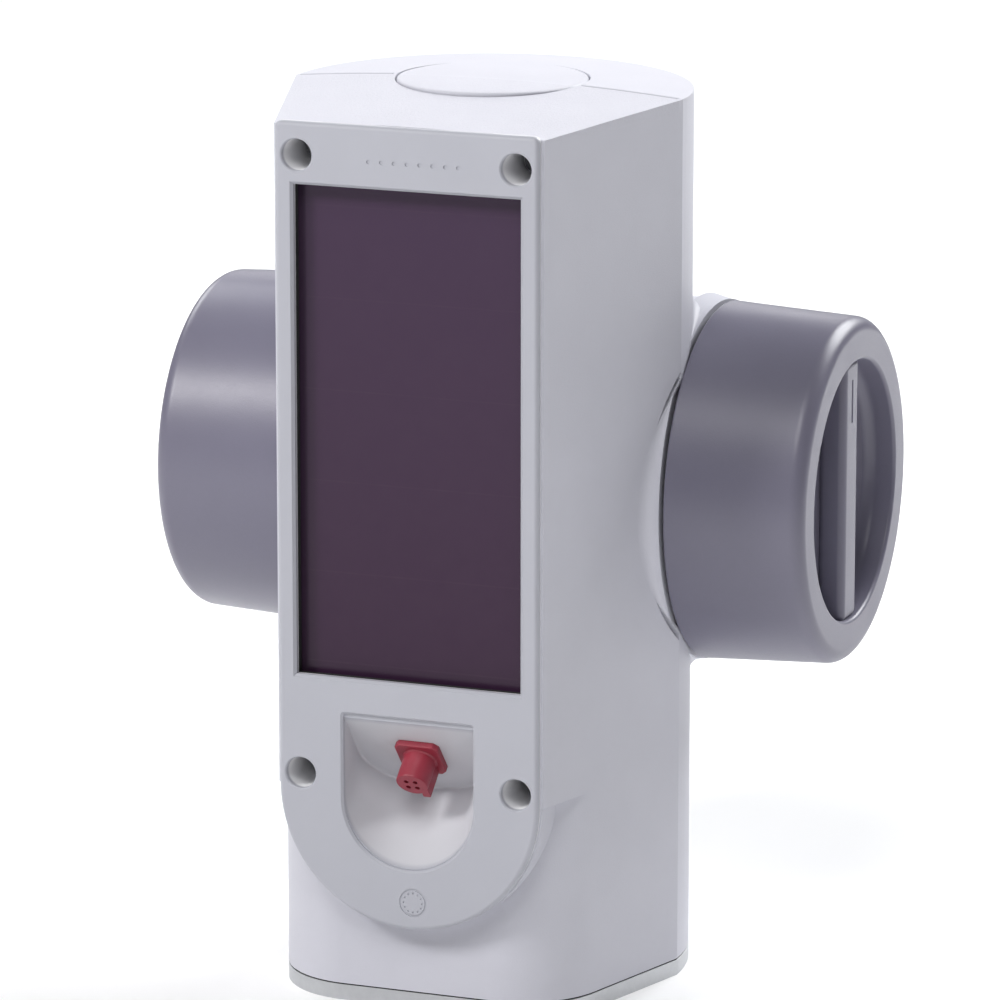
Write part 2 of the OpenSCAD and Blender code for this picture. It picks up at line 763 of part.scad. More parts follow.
module knob_encoders() {
    color([0.15, 0.15, 0.16]) for (side = [0, 1]) mirror([side, 0, 0]) difference() {
        translate([shaft_in_x + 2, knob_y - 12, knob_z - 12])
            cube([encoder_out_x - shaft_in_x - 2, 24, 24]);
        on_knob_axis(shaft_in_x, encoder_out_x + 1, shaft_r + run_fit, shaft_r + run_fit);
    }
}

// ---- inner frame and boards ----

frame_spots = [for (sx = [-1, 1], z = [frame_low_z + 8, frame_high_z - 8]) [sx * frame_boss_x, z]];
board_spots = [for (sx = [-1, 1], z = [92, 216]) [sx * 30, z]];

module inner_frame() {
    color([0.55, 0.56, 0.58]) difference() {
        union() {
            translate([-frame_half_w, frame_y, frame_low_z])
                cube([2 * frame_half_w, frame_t, frame_high_z - frame_low_z]);
            translate([-24, button_y - 14, frame_high_z - 3]) cube([48, 28, 3]);
            for (sx = [-1, 1], y = [button_y - 10, button_y + 10])
                translate([sx * 19, y, frame_high_z - 1])
                    cylinder(h = top_board_z - frame_high_z + 1, r = 2.5);
            for (side = [0, 1]) mirror([side, 0, 0]) translate([encoder_out_x, frame_y, knob_z - 16])
                cube([bracket_t, knob_y + 14 - frame_y, 32]);
            translate([-30, frame_y, reader_low_z - 3]) cube([60, 60, 3]);
            for (spot = board_spots) post(spot[0], spot[1], main_board_y + board_t, frame_y + 1, 3);
        }
        for (spot = frame_spots) post(spot[0], spot[1], frame_y - 1, frame_y + frame_t + 1, 1.8);
        for (spot = board_spots) post(spot[0], spot[1], main_board_y, frame_y + frame_t + 1, 1.25);
        on_knob_axis(-boss_x, boss_x, shaft_r + 1, shaft_r + 1);
    }
}

module frame_screws() {
    color([0.75, 0.75, 0.76]) for (spot = frame_spots) {
        post(spot[0], spot[1], frame_y, frame_y + frame_t + 9, 1.5);
        post(spot[0], spot[1], frame_y - 2, frame_y, 2.8);
    }
}

module main_board() {
    color([0.12, 0.4, 0.25]) difference() {
        union() {
            translate([-frame_boss_x, main_board_y, 86]) cube([2 * frame_boss_x, board_t, 138]);
            translate([-14, main_board_y - 2.4, 150]) cube([28, 2.5, 28]);
            translate([-26, main_board_y - 6, 108]) cube([16, 6.1, 10]);
            translate([8, main_board_y - 2, 104]) cube([20, 2.1, 14]);
            translate([-24, main_board_y - 3, 194]) cube([22, 3.1, 10]);
        }
        for (spot = board_spots) post(spot[0], spot[1], main_board_y - 1, main_board_y + 3, 1.6);
    }
}

module board_screws() {
    color([0.75, 0.75, 0.76]) for (spot = board_spots) {
        post(spot[0], spot[1], main_board_y, frame_y + frame_t, 1.2);
        post(spot[0], spot[1], main_board_y - 1.6, main_board_y, 2.4);
    }
}

module battery_holder() {
    color([0.1, 0.1, 0.11]) {
        translate([-37, holder_y, cell_low_z - 7]) cube([74, 2, cell_h + 14]);
        for (z = [cell_low_z - 7, cell_low_z + cell_h])
            translate([-37, holder_y, z]) cube([74, 2 * cell_r + 3, 7]);
    }
}

module battery_cells() {
    color([0.2, 0.35, 0.6]) for (side = [-1, 1]) translate([side * cell_x, cell_y, cell_low_z])
        cylinder(h = cell_h, r = cell_r);
}

module charge_board() {
    color([0.12, 0.4, 0.25]) {
        translate([-30, charge_y, 200]) cube([60, board_t, 42]);
        translate([-20, charge_y + board_t - 0.1, 208]) cube([14, 6.1, 14]);
        translate([4, charge_y + board_t - 0.1, 226]) cube([18, 8.1, 8]);
    }
}

// ---- user side ----

fascia_spots = [for (sx = [-1, 1], sz = [-1, 1]) [sx * fascia_screw_x, knob_z + sz * fascia_screw_z]];
front_posts = [for (x = [-35.5, 35.5], z = [knob_z - 11, knob_z + 20]) [x, z]];
bezel_w = slot_w + 6;
bezel_h = slot_h + 3.4;

module fascia() {
    color([0.16, 0.17, 0.2]) difference() {
        union() {
            along_y(land_y, land_y + fascia_t) translate([-fascia_half_w, knob_z - fascia_half_h])
                square([2 * fascia_half_w, 2 * fascia_half_h]);
            for (spot = front_posts) post(spot[0], spot[1], front_board_y + board_t, land_y + 1, 2);
        }
        translate([-display_w / 2, land_y - 1, display_mid_z - display_h / 2])
            cube([display_w, fascia_t + 2, display_h]);
        for (x = key_x) post(x, key_z, land_y - 1, land_y + fascia_t + 1, key_r + 0.25);
        translate([-bezel_w / 2 - slip, land_y - 1, slot_z - bezel_h / 2 - slip])
            cube([bezel_w + 2 * slip, fascia_t + 2, bezel_h + 2 * slip]);
        for (spot = fascia_spots) {
            post(spot[0], spot[1], land_y - 1, land_y + fascia_t + 1, 1.7);
            post(spot[0], spot[1], land_y + 1.2, land_y + fascia_t + 1, 3.1);
        }
    }
}

module fascia_screws() {
    color([0.45, 0.46, 0.48]) for (spot = fascia_spots) {
        post(spot[0], spot[1], land_y - 8, land_y + 1.2, 1.5);
        post(spot[0], spot[1], land_y + 1.2, land_y + fascia_t - 0.2, 2.9);
    }
}

module display_window() {
    color([0.6, 0.7, 0.72, 0.4]) translate([-lens_w / 2, land_y - lens_t, display_mid_z - lens_h / 2])
        cube([lens_w, lens_t, lens_h]);
}

module display_module() {
    color([0.5, 0.56, 0.48]) translate([-lens_w / 2, front_board_y + board_t, display_mid_z - lens_h / 2])
        cube([lens_w, display_t, lens_h]);
}

module display_board() {
    color([0.12, 0.4, 0.25]) translate([-39, front_board_y, knob_z - 14]) cube([78, board_t, 38]);
}

switch_top_y = land_y - 1.7 - 1.6 - key_travel - seat_gap;

module key_switches() {
    color([0.15, 0.15, 0.16]) for (x = key_x) {
        translate([x - 3, front_board_y + board_t, key_z - 3])
            cube([6, switch_top_y - front_board_y - board_t - 0.8, 6]);
        post(x, key_z, front_board_y + board_t, switch_top_y, 1.5);
    }
}

module key(x) {
    back = land_y - seat_gap;
    post(x, key_z, back - 1.4, land_y + fascia_t + key_travel + 0.6, key_r);
    post(x, key_z, back - 1.4, back, key_r + 1.2);
    post(x, key_z, switch_top_y + key_travel + 0.3, back - 1, 2);
}

module left_key() {
    color([0.75, 0.76, 0.8]) key(key_x[0]);
}

module middle_key() {
    color([0.75, 0.76, 0.8]) key(key_x[1]);
}

module right_key() {
    color([0.2, 0.55, 0.35]) key(key_x[2]);
}

module card_slot_bezel() {
    color([0.3, 0.31, 0.34]) difference() {
        union() {
            translate([-bezel_w / 2, reader_front_y, slot_z - bezel_h / 2])
                cube([bezel_w, land_y + fascia_t + 1 - reader_front_y, bezel_h]);
            translate([-bezel_w / 2 - 2, land_y + fascia_t, slot_z - bezel_h / 2 - 1.2])
                cube([bezel_w + 4, 1.4, bezel_h + 2.4]);
        }
        translate([-slot_w / 2, land_y - 20, slot_z - slot_h / 2]) cube([slot_w, 40, slot_h]);
    }
}

module card_reader() {
    color([0.2, 0.2, 0.22]) difference() {
        translate([-35, frame_y + 22, reader_low_z])
            cube([70, reader_front_y - frame_y - 22, reader_top_z - reader_low_z]);
        translate([-slot_w / 2, frame_y + 34, slot_z - slot_h / 2]) cube([slot_w, 60, slot_h]);
    }
}

module contactless_cover() {
    color([0.16, 0.17, 0.2]) difference() {
        post(0, reader_z, reader_face_y - 3, reader_face_y + 1.2, reader_r);
        post(0, reader_z, reader_face_y - 4, reader_face_y - 1, reader_r - 2);
    }
}

module contactless_antenna() {
    color([0.12, 0.4, 0.25]) post(0, reader_z, reader_face_y - 5, reader_face_y - 3.4, reader_r - 1.5);
}

// ---- leads ----

socket_back_y = -front_depth + socket_s * cos(recess_tilt) + (cup_wall + nut_t + 2) * sin(recess_tilt);
socket_back_z = recess_top_z - socket_s * sin(recess_tilt) + (cup_wall + nut_t + 2) * cos(recess_tilt);
holder_top_z = cell_low_z + cell_h + 7;

solar_route = [
    [0, face_y, lead_hole_z], [0, wall_y + 2, lead_hole_z], [3, wall_y + 6, lead_hole_z - 1],
    [8, -49, 246], [12, -48, 241], [13, -48, 237], [13, -48, 234]
];
battery_route = [
    [-13, -45, holder_top_z], [-13, -45, holder_top_z + 4], [-13, -47, 200], [-13, -49, 205], [-13, -49, 208]
];
socket_route = [
    [0, socket_back_y, socket_back_z],
    [0, socket_back_y + 3 * sin(recess_tilt), socket_back_z + 3 * cos(recess_tilt)],
    [-1, -44, 93.5], [-3, -35, 97], [-8, -22, 99], [-14, -8, 99], [-17, -1, 101],
    [-18, 1.4, 104.5], [-18, 1.4, 108]
];

function unit(v) = v / norm(v);

// A point on the smooth curve through the route, t counted in points
function on_route(route, t) =
    let (
        i = min(floor(t), len(route) - 2),
        f = t - i,
        a = route[max(i - 1, 0)],
        b = route[i],
        c = route[i + 1],
        d = route[min(i + 2, len(route) - 1)]
    )
    0.5 * (2 * b + (c - a) * f + (2 * a - 5 * b + 4 * c - d) * f * f + (3 * b - a - 3 * c + d) * f * f * f);

// A round lead swept along a route
module lead(route) {
    sides = 8;
    steps = 3;
    count = (len(route) - 1) * steps;
    path = [for (k = [0 : count]) on_route(route, k / steps)];
    rings = [
        for (k = [0 : count])
            let (
                way = k == 0 ? route[1] - route[0]
                    : k == count ? route[len(route) - 1] - route[len(route) - 2]
                    : path[k + 1] - path[k - 1],
                u = unit(cross(way, [1, 0, 0])),
                v = unit(cross(way, u))
            )
            for (j = [0 : sides - 1]) path[k] + lead_r * (u * cos(360 * j / sides) + v * sin(360 * j / sides))
    ];
    walls = [
        for (k = [0 : count - 1], j = [0 : sides - 1])
            let (n = (j + 1) % sides)
            [k * sides + j, k * sides + n, (k + 1) * sides + n, (k + 1) * sides + j]
    ];
    start = [for (j = [sides - 1 : -1 : 0]) j];
    end = [for (j = [0 : sides - 1]) count * sides + j];
    polyhedron(points = rings, faces = concat(walls, [start], [end]), convexity = 4);
}

module solar_lead() {
    color([0.6, 0.15, 0.15]) lead(solar_route);
}

module battery_lead() {
    color([0.15, 0.15, 0.16]) lead(battery_route);
}

module socket_lead() {
    color([0.3, 0.3, 0.32]) lead(socket_route);
}

base_plate();
base_gasket();
base_screws();
solar_side_shell();
user_side_shell();
shell_screws();
solar_cover();
cover_screws();
solar_panel();
panel_gasket();
service_socket();
socket_contacts();
socket_nut();
top_button();
button_stem();
button_clip();
button_guide();
button_spring();
top_switch();
top_board();
left_knob();
right_knob();
left_shaft();
right_shaft();
left_shaft_clip();
right_shaft_clip();
shaft_bushes();
bush_nuts();
bush_seals();
knob_encoders();
inner_frame();
frame_screws();
main_board();
board_screws();
battery_holder();
battery_cells();
charge_board();
fascia();
fascia_screws();
display_window();
display_module();
display_board();
key_switches();
left_key();
middle_key();
right_key();
card_slot_bezel();
card_reader();
contactless_cover();
contactless_antenna();
solar_lead();
battery_lead();
socket_lead();
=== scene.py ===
import json
import math

import bmesh
import bpy
from mathutils import Matrix, Vector


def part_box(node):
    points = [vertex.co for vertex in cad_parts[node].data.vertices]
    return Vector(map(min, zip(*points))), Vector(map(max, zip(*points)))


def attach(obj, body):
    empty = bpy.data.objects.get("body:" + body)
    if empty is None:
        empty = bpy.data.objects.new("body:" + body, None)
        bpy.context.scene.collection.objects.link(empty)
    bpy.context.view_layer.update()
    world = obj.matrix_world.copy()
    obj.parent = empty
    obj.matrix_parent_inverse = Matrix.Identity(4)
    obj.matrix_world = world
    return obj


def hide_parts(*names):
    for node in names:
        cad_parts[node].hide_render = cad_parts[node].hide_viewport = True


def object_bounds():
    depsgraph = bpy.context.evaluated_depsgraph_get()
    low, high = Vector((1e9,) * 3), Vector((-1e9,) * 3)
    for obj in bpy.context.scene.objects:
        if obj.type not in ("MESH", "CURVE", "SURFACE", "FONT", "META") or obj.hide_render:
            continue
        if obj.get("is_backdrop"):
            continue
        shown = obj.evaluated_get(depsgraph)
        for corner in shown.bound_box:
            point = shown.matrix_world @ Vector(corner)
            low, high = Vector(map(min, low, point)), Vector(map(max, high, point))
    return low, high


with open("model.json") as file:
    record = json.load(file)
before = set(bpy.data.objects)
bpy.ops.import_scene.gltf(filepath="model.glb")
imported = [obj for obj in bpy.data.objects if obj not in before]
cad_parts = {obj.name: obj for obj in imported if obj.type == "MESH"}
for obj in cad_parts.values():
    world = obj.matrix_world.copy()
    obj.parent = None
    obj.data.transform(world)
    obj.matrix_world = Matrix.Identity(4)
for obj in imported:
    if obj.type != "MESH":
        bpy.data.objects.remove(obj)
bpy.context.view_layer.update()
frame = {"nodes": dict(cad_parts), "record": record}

scene = bpy.context.scene
MM = 0.001


# ---- camera and light ----
# A long lens a little above the head and to the right of its solar side. Two lamps stand high in
# front, the key one on the left, three behind it, and a faint surround fills the shadows.

def aimed(thing, place, aim):
    thing.location = place
    thing.rotation_euler = (Vector(aim) - Vector(place)).to_track_quat("-Z", "Y").to_euler()
    scene.collection.objects.link(thing)


def soft_lamp(name, place, aim, size, watts, colour):
    lamp = bpy.data.lights.new(name, "AREA")
    lamp.shape = "DISK"
    lamp.size = size
    lamp.energy = watts
    lamp.color = colour
    aimed(bpy.data.objects.new(name, lamp), place, aim)


lens = bpy.data.cameras.new("camera")
lens.sensor_width = 36.0
lens.lens = 226.8
camera = bpy.data.objects.new("camera", lens)
aimed(camera, (0.6993, -1.8244, 0.6190), (0.03091, -0.070, 0.16936))
scene.camera = camera

soft_lamp("key_lamp", (-1.3, -1.3, 1.5), (0, 0, 0.18), 0.5, 27, (1.0, 0.99, 0.98))
soft_lamp("front_lamp", (0.2, -1.6, 2.2), (0, 0, 0.18), 1.2, 28, (1.0, 1.0, 1.0))
soft_lamp("back_lamp", (0.7, 1.7, 1.5), (0, 0, 0.18), 1.5, 58, (0.98, 0.99, 1.0))
soft_lamp("left_lamp", (-1.4, 1.2, 1.3), (0, 0, 0.18), 1.0, 14, (0.98, 0.99, 1.0))
soft_lamp("rim_lamp", (-0.8, 2.3, 0.95), (0, 0, 0.18), 0.9, 4, (1.0, 1.0, 1.0))

world = bpy.data.worlds.new("surround")
world.use_nodes = True
world.node_tree.nodes["Background"].inputs["Color"].default_value = (1.0, 1.0, 1.0, 1.0)
world.node_tree.nodes["Background"].inputs["Strength"].default_value = 0.05
scene.world = world
scene.view_settings.view_transform = "Standard"


# ---- shader words ----
# Every finish below is written as sums on sockets: a Wire is one output of a node tree,
# arithmetic on Wires adds Math nodes, and between() adds Mix nodes for colours.

class Wire:
    def __init__(self, tree, socket):
        self.tree = tree
        self.socket = socket

    def node(self, kind, settings, inputs, output=0):
        made = self.tree.nodes.new(kind)
        for name, value in settings.items():
            if name == "ramp":
                ramp = made.color_ramp
                while len(ramp.elements) < len(value):
                    ramp.elements.new(0.5)
                for element, (place, colour) in zip(ramp.elements, value):
                    element.position = place
                    element.color = (*colour, 1.0)
            else:
                setattr(made, name, value)
        for name, value in inputs.items():
            if isinstance(value, Wire):
                self.tree.links.new(value.socket, made.inputs[name])
            else:
                made.inputs[name].default_value = value
        return Wire(self.tree, made.outputs[output])

    def math(self, operation, other=0.0, swapped=False):
        first, second = (other, self) if swapped else (self, other)
        return self.node("ShaderNodeMath", {"operation": operation}, {0: first, 1: second})

    def __add__(self, other):
        return self.math("ADD", other)

    def __sub__(self, other):
        return self.math("SUBTRACT", other)

    def __mul__(self, other):
        return self.math("MULTIPLY", other)

    def __rsub__(self, other):
        return self.math("SUBTRACT", other, swapped=True)

    __radd__ = __add__
    __rmul__ = __mul__

    def above(self, level, soft):
        """0 below level, 1 above it, over a width of soft."""
        span = {"From Min": level - soft, "From Max": level + soft}
        return self.node("ShaderNodeMapRange", {}, {"Value": self, **span})

    def noise(self, scale, detail=2.0, roughness=0.5):
        settings = {"Vector": self, "Scale": scale, "Detail": detail, "Roughness": roughness}
        return self.node("ShaderNodeTexNoise", {}, settings)

    def part(self, axis):
        return self.node("ShaderNodeSeparateXYZ", {}, {0: self}, "XYZ".index(axis))

    def between(self, low, high):
        """A colour from low to high as this mask goes from 0 to 1."""
        colours = {"Factor": self, 6: low, 7: high}
        return self.node("ShaderNodeMix", {"data_type": "RGBA"}, colours, 2)


def rgb(red, green, blue):
    return (red, green, blue, 1.0)


def finish(name, colour, roughness, metallic=0.0, bump=None, depth=0.0, **sockets):
    """A material whose look is worked out by colour(place), roughness(place) and bump(place)."""
    material = bpy.data.materials.new(name)
    material.use_nodes = True
    tree = material.node_tree
    shader = tree.nodes["Principled BSDF"]
    coordinates = tree.nodes.new("ShaderNodeTexCoord")
    place = Wire(tree, coordinates.outputs["Object"])
    wanted = {"Base Color": colour, "Roughness": roughness, "Metallic": metallic, **sockets}
    for socket, value in wanted.items():
        value = value(place) if callable(value) else value
        if isinstance(value, Wire):
            tree.links.new(value.socket, shader.inputs[socket])
        else:
            shader.inputs[socket].default_value = value
    if bump:
        height = {"Height": bump(place), "Strength": 1.0, "Distance": depth}
        relief = place.node("ShaderNodeBump", {}, height)
        tree.links.new(relief.socket, shader.inputs["Normal"])
    return material


# ---- floor ----
# A plain pale sheet that runs well past the object on every side.

floor_half = 6.0
floor_mesh = bmesh.new()
bmesh.ops.create_grid(floor_mesh, x_segments=1, y_segments=1, size=floor_half)
floor = bpy.data.objects.new("floor", bpy.data.meshes.new("floor"))
floor_mesh.to_mesh(floor.data)
floor_mesh.free()
floor.data.materials.append(finish(
    "pale_floor",
    lambda place: place.noise(3.0).between(rgb(0.94, 0.94, 0.94), rgb(0.97, 0.97, 0.97)),
    0.9))
scene.collection.objects.link(floor)
floor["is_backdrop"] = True


# ---- solar-side shell ----
# The half of the housing that carries the solar cover: a moulded ABS shell, spark-eroded on the
# outside, 3 mm thick, with a flat-topped shoulder under the cover. It is screwed to the other half.

def copy_of(node):
    """A CAD node's surface in millimetres, with its loose triangles merged into whole faces."""
    mesh = bmesh.new()
    mesh.from_mesh(frame["nodes"][node].data)
    bmesh.ops.transform(mesh, matrix=Matrix.Scale(1 / MM, 4), verts=mesh.verts)
    bmesh.ops.remove_doubles(mesh, verts=mesh.verts, dist=0.002)
    bmesh.ops.dissolve_limit(mesh, angle_limit=math.radians(0.6), verts=mesh.verts, edges=mesh.edges,
                             delimit={"NORMAL"})
    return mesh


def round_edges(mesh, width, segments, chosen, least=40):
    """Rounds the edges that turn by more than least degrees and whose two ends are both chosen."""
    edges = [
        edge for edge in mesh.edges
        if len(edge.link_faces) == 2 and edge.calc_face_angle() > math.radians(least)
        and all(chosen(vertex.co) for vertex in edge.verts)
    ]
    bmesh.ops.bevel(mesh, geom=edges, affect="EDGES", offset=width, offset_type="OFFSET",
                    segments=segments, profile=0.5, material=-1, clamp_overlap=True)


def keep(name, mesh, material, body, nodes=(), sharp=38, weighted=True):
    """Makes a piece of a mesh drawn in millimetres; it rides on a body and stands for CAD nodes."""
    bmesh.ops.transform(mesh, matrix=Matrix.Scale(MM, 4), verts=mesh.verts)
    for face in mesh.faces:
        face.smooth = True
    for edge in mesh.edges:
        edge.smooth = len(edge.link_faces) != 2 or edge.calc_face_angle(0) < math.radians(sharp)
    piece = bpy.data.objects.new(name, bpy.data.meshes.new(name))
    mesh.to_mesh(piece.data)
    mesh.free()
    piece.data.materials.append(material)
    scene.collection.objects.link(piece)
    if weighted:
        normals = piece.modifiers.new("even_normals", "WEIGHTED_NORMAL")
        normals.keep_sharp = True
        normals.weight = 100
    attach(piece, body)
    if nodes:
        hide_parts(*nodes)
    return piece


def grained_white(place):
    cloud = place.noise(55.0, 3.0)
    return cloud.between(rgb(0.56, 0.56, 0.625), rgb(0.60, 0.60, 0.665))


button_y = 4.75
top_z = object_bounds()[1][2] / MM


def eroded_grain(place):
    """Fine grain all over, and a coarse spark-eroded grain on the facet over the solar side."""
    fine = place.noise(2600.0, 2.0, 0.6) * 0.30
    high = place.part("Z").above((top_z - 7.0) * MM, 0.0004)
    before = (place.part("Y") * -1.0).above(0.0012, 0.0005)
    return fine + place.noise(1050.0, 3.0, 0.75) * (high * before)


white_shell = finish(
    "grained_white_shell", grained_white,
    lambda place: place.noise(900.0, 2.0) * 0.12 + 0.44,
    bump=eroded_grain, depth=0.00022)

solar_shell = copy_of("solar_side_shell")


def on_top_rim(point):
    beyond_button = math.hypot(point.x, point.y - button_y) > 33
    return point.z > top_z - 9 and beyond_button and point.z > top_z - 8.45


round_edges(solar_shell, 1.6, 5, lambda p: on_top_rim(p) and p.y < -0.02)
round_edges(solar_shell, 0.3, 2, lambda p: abs(p.y) < 0.02 and (abs(p.x) > 63.5 or on_top_rim(p)))
keep("solar_side_casing", solar_shell, white_shell, "housing", ["solar_side_shell"])


# ---- user-side shell ----
# The other half of the housing, moulded in the same ABS: a half-round column with a level barrel
# across it, whose two ends are the bosses that the knobs turn against.

knob_low, knob_high = (Vector(corner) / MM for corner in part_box("right_knob"))
knob_y = (knob_low.y + knob_high.y) / 2
knob_z = (knob_low.z + knob_high.z) / 2

user_shell = copy_of("user_side_shell")
round_edges(user_shell, 1.6, 5, lambda p: on_top_rim(p) and p.y > 0.02)
round_edges(user_shell, 0.3, 2, lambda p: abs(p.y) < 0.02 and (abs(p.x) > 63.5 or on_top_rim(p)))
keep("user_side_casing", user_shell, white_shell, "housing", ["user_side_shell"])


# ---- boss flares and crown bead ----
# The moulding sweeps out in a hollow curve from the column to each round boss that carries a knob,
# and a low bead covers the joint of the two shells across the crown.

column_r, flank_front_half, flank_front_y = 65.0, 43.5, -70.0
boss_face = knob_low.x - 1.2
boss_r = 58.0
flare_reach, flare_rise = 7.0, 8.0


def column_x(y):
    """Half width of the column's outside at y."""
    if y < 0:
        return flank_front_half + (column_r - flank_front_half) * (y - flank_front_y) / -flank_front_y
    return math.sqrt(column_r ** 2 - y ** 2)


def flare_section(turn, fade):
    """Closed section of the flare, as X and the distance from the knob's axis, at an angle round it."""
    foot = column_x(knob_y + boss_r * math.cos(turn))
    rise = max(min(boss_face - 0.4 - foot, flare_rise) * fade, 0.03)
    reach = min(rise * 1.1, flare_reach)
    far = boss_r + reach
    far_x = column_x(knob_y + far * math.cos(turn)) + 0.02
    start, corner, end = Vector((foot + rise, boss_r + 0.02)), Vector((foot, boss_r + 0.02)), Vector((far_x, far))
    curve = [start.lerp(corner, t).lerp(corner.lerp(end, t), t) for t in (i / 9 for i in range(10))]
    return curve + [Vector((far_x - 1.5, far)), Vector((foot - 1.5, boss_r - 1.2)), Vector((foot + rise, boss_r - 1.2))]


flares = []
turns = [math.radians(72 + 2 * i) for i in range(109)]
for side in (-1, 1):
    flare = bmesh.new()
    loops = []
    for turn in turns:
        fade = min(1.0, (min(turn - turns[0], turns[-1] - turn)) / math.radians(14))
        loops.append([
            flare.verts.new((side * x, knob_y + r * math.cos(turn), knob_z + r * math.sin(turn)))
            for x, r in flare_section(turn, fade)])
    rings = [[flare.edges.new(pair) for pair in zip(loop, loop[1:] + loop[:1])] for loop in loops]
    for first, second in zip(rings, rings[1:]):
        bmesh.ops.bridge_loops(flare, edges=first + second)
    flare.faces.new(loops[0])
    flare.faces.new(loops[-1])
    bmesh.ops.recalc_face_normals(flare, faces=flare.faces)
    flares.append(flare)


def together(meshes):
    """Several separate solids as one mesh."""
    whole = bmesh.new()
    for mesh in meshes:
        part = bpy.data.meshes.new("part")
        mesh.to_mesh(part)
        mesh.free()
        whole.from_mesh(part)
        bpy.data.meshes.remove(part)
    return whole


keep("boss_flares", together(flares), white_shell, "housing")

crown_r = 690.0
crown_centre = Vector((0, 0, top_z - crown_r))
bead_r, bead_proud = 0.8, 0.28
bead_start, bead_end = math.asin(31.6 / crown_r), math.asin(63.4 / crown_r)
beads = []
for side in (-1, 1):
    bead = bmesh.new()
    place = Vector((0, 0, top_z - bead_r + bead_proud))
    start = Matrix.Translation(crown_centre) @ Matrix.Rotation(side * bead_start, 4, "Y") @ Matrix.Translation(
        place - crown_centre) @ Matrix.Rotation(math.radians(90), 4, "Y")
    bmesh.ops.create_circle(bead, cap_ends=False, segments=16, radius=bead_r, matrix=start)
    first = bead.edges[:]
    bmesh.ops.spin(bead, geom=bead.verts[:] + first, cent=crown_centre, axis=(0, 1, 0),
                   angle=side * (bead_end - bead_start), steps=20, use_merge=False)
    bmesh.ops.holes_fill(bead, edges=bead.edges, sides=0)
    bmesh.ops.recalc_face_normals(bead, faces=bead.faces)
    beads.append(bead)
keep("crown_bead", together(beads), white_shell, "housing")


# ---- solar cover ----
# A moulded ABS plate 2.5 mm thick with a rounded front edge, a window for the panel, four deep screw wells
# and a scooped recess for the service socket. It lies on the shoulder of the solar-side shell.

cover_low, cover_high = (Vector(corner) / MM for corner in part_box("solar_cover"))
front_y = cover_low.y
plate_t = 2.5
cover_half = cover_high.x
arc_z = cover_low.z + cover_half
screw_x = 36.0
screw_mid_z = cover_high.z - 108.7
screw_rise = 98.3
window_w, window_h = 74.7, 155.5
window_z = screw_mid_z + 11.4
recess_half = 21.75
recess_top_z = screw_mid_z - 77.7
recess_arc_z = recess_top_z - 27.2
ceiling_tilt = math.radians(49.0)
down_slope = Vector((0, math.cos(ceiling_tilt), -math.sin(ceiling_tilt)))
out_of_ceiling = Vector((0, -math.sin(ceiling_tilt), -math.cos(ceiling_tilt)))
recess_lip = Vector((0, front_y, recess_top_z))


def arc(x, z, radius, start, end, count):
    """Points of a round stretch in the XZ plane, with its angles in degrees."""
    turns = [math.radians(start + (end - start) * i / count) for i in range(count + 1)]
    return [(x + radius * math.cos(turn), z + radius * math.sin(turn)) for turn in turns]


def prism(points, y0, y1, shift=(0, 0)):
    """A closed solid between an XZ outline at y0 and the same outline, shifted in X and Z, at y1."""
    mesh = bmesh.new()
    face = mesh.faces.new([mesh.verts.new((x, y0, z)) for x, z in points])
    grown = bmesh.ops.extrude_face_region(mesh, geom=[face])["geom"]
    corners = [item for item in grown if isinstance(item, bmesh.types.BMVert)]
    bmesh.ops.translate(mesh, verts=corners, vec=(shift[0], y1 - y0, shift[1]))
    bmesh.ops.recalc_face_normals(mesh, faces=mesh.faces)
    return mesh


def flared(points, wider, y0, y1, y2):
    """A prism from y1 to y2 whose mouth flares out to a wider outline at y0."""
    mesh = bmesh.new()
    loops = [
        [mesh.verts.new((x, y, z)) for x, z in outline]
        for outline, y in ((wider, y0), (points, y1), (points, y2))
    ]
    for first, second in zip(loops, loops[1:]):
        edges = []
        for loop in (first, second):
            for here, there in zip(loop, loop[1:] + loop[:1]):
                edges.append(mesh.edges.get((here, there)) or mesh.edges.new((here, there)))
        bmesh.ops.bridge_loops(mesh, edges=edges)
    mesh.faces.new(loops[0])
    mesh.faces.new(loops[-1])
    bmesh.ops.recalc_face_normals(mesh, faces=mesh.faces)
    return mesh


def rod(start, end, radius, end_radius=None, segments=48):
    """A closed round bar from one point to another."""
    start, end = Vector(start), Vector(end)
    way = end - start
    turn = way.to_track_quat("Z", "Y").to_matrix().to_4x4()
    mesh = bmesh.new()
    bmesh.ops.create_cone(mesh, cap_ends=True, segments=segments, radius1=radius,
                          radius2=radius if end_radius is None else end_radius, depth=way.length,
                          matrix=Matrix.Translation((start + end) / 2) @ turn)
    return mesh


def combine(base, tool, operation):
    """The exact union, difference or intersection of two closed solids."""
    holders = []
    for mesh in (base, tool):
        holder = bpy.data.objects.new("holder", bpy.data.meshes.new("holder"))
        mesh.to_mesh(holder.data)
        mesh.free()
        scene.collection.objects.link(holder)
        holders.append(holder)
    step = holders[0].modifiers.new("step", "BOOLEAN")
    step.operation = operation
    step.solver = "EXACT"
    step.object = holders[1]
    bpy.context.view_layer.update()
    result = bmesh.new()
    result.from_object(holders[0], bpy.context.evaluated_depsgraph_get())
    for holder in holders:
        bpy.data.objects.remove(holder)
    bmesh.ops.remove_doubles(result, verts=result.verts, dist=0.001)
    return result


def tongue(half, top, extra=0.0, corner=1.0, count=48):
    """Flat top of a tongue outline with rounded corners, and its half width; tongue_outline adds the half-round foot.
    """
    half = half + extra
    right = arc(half - corner, top + extra - corner, corner, 0, 90, 4)
    left = arc(-half + corner, top + extra - corner, corner, 90, 180, 4)
    return right + left, half


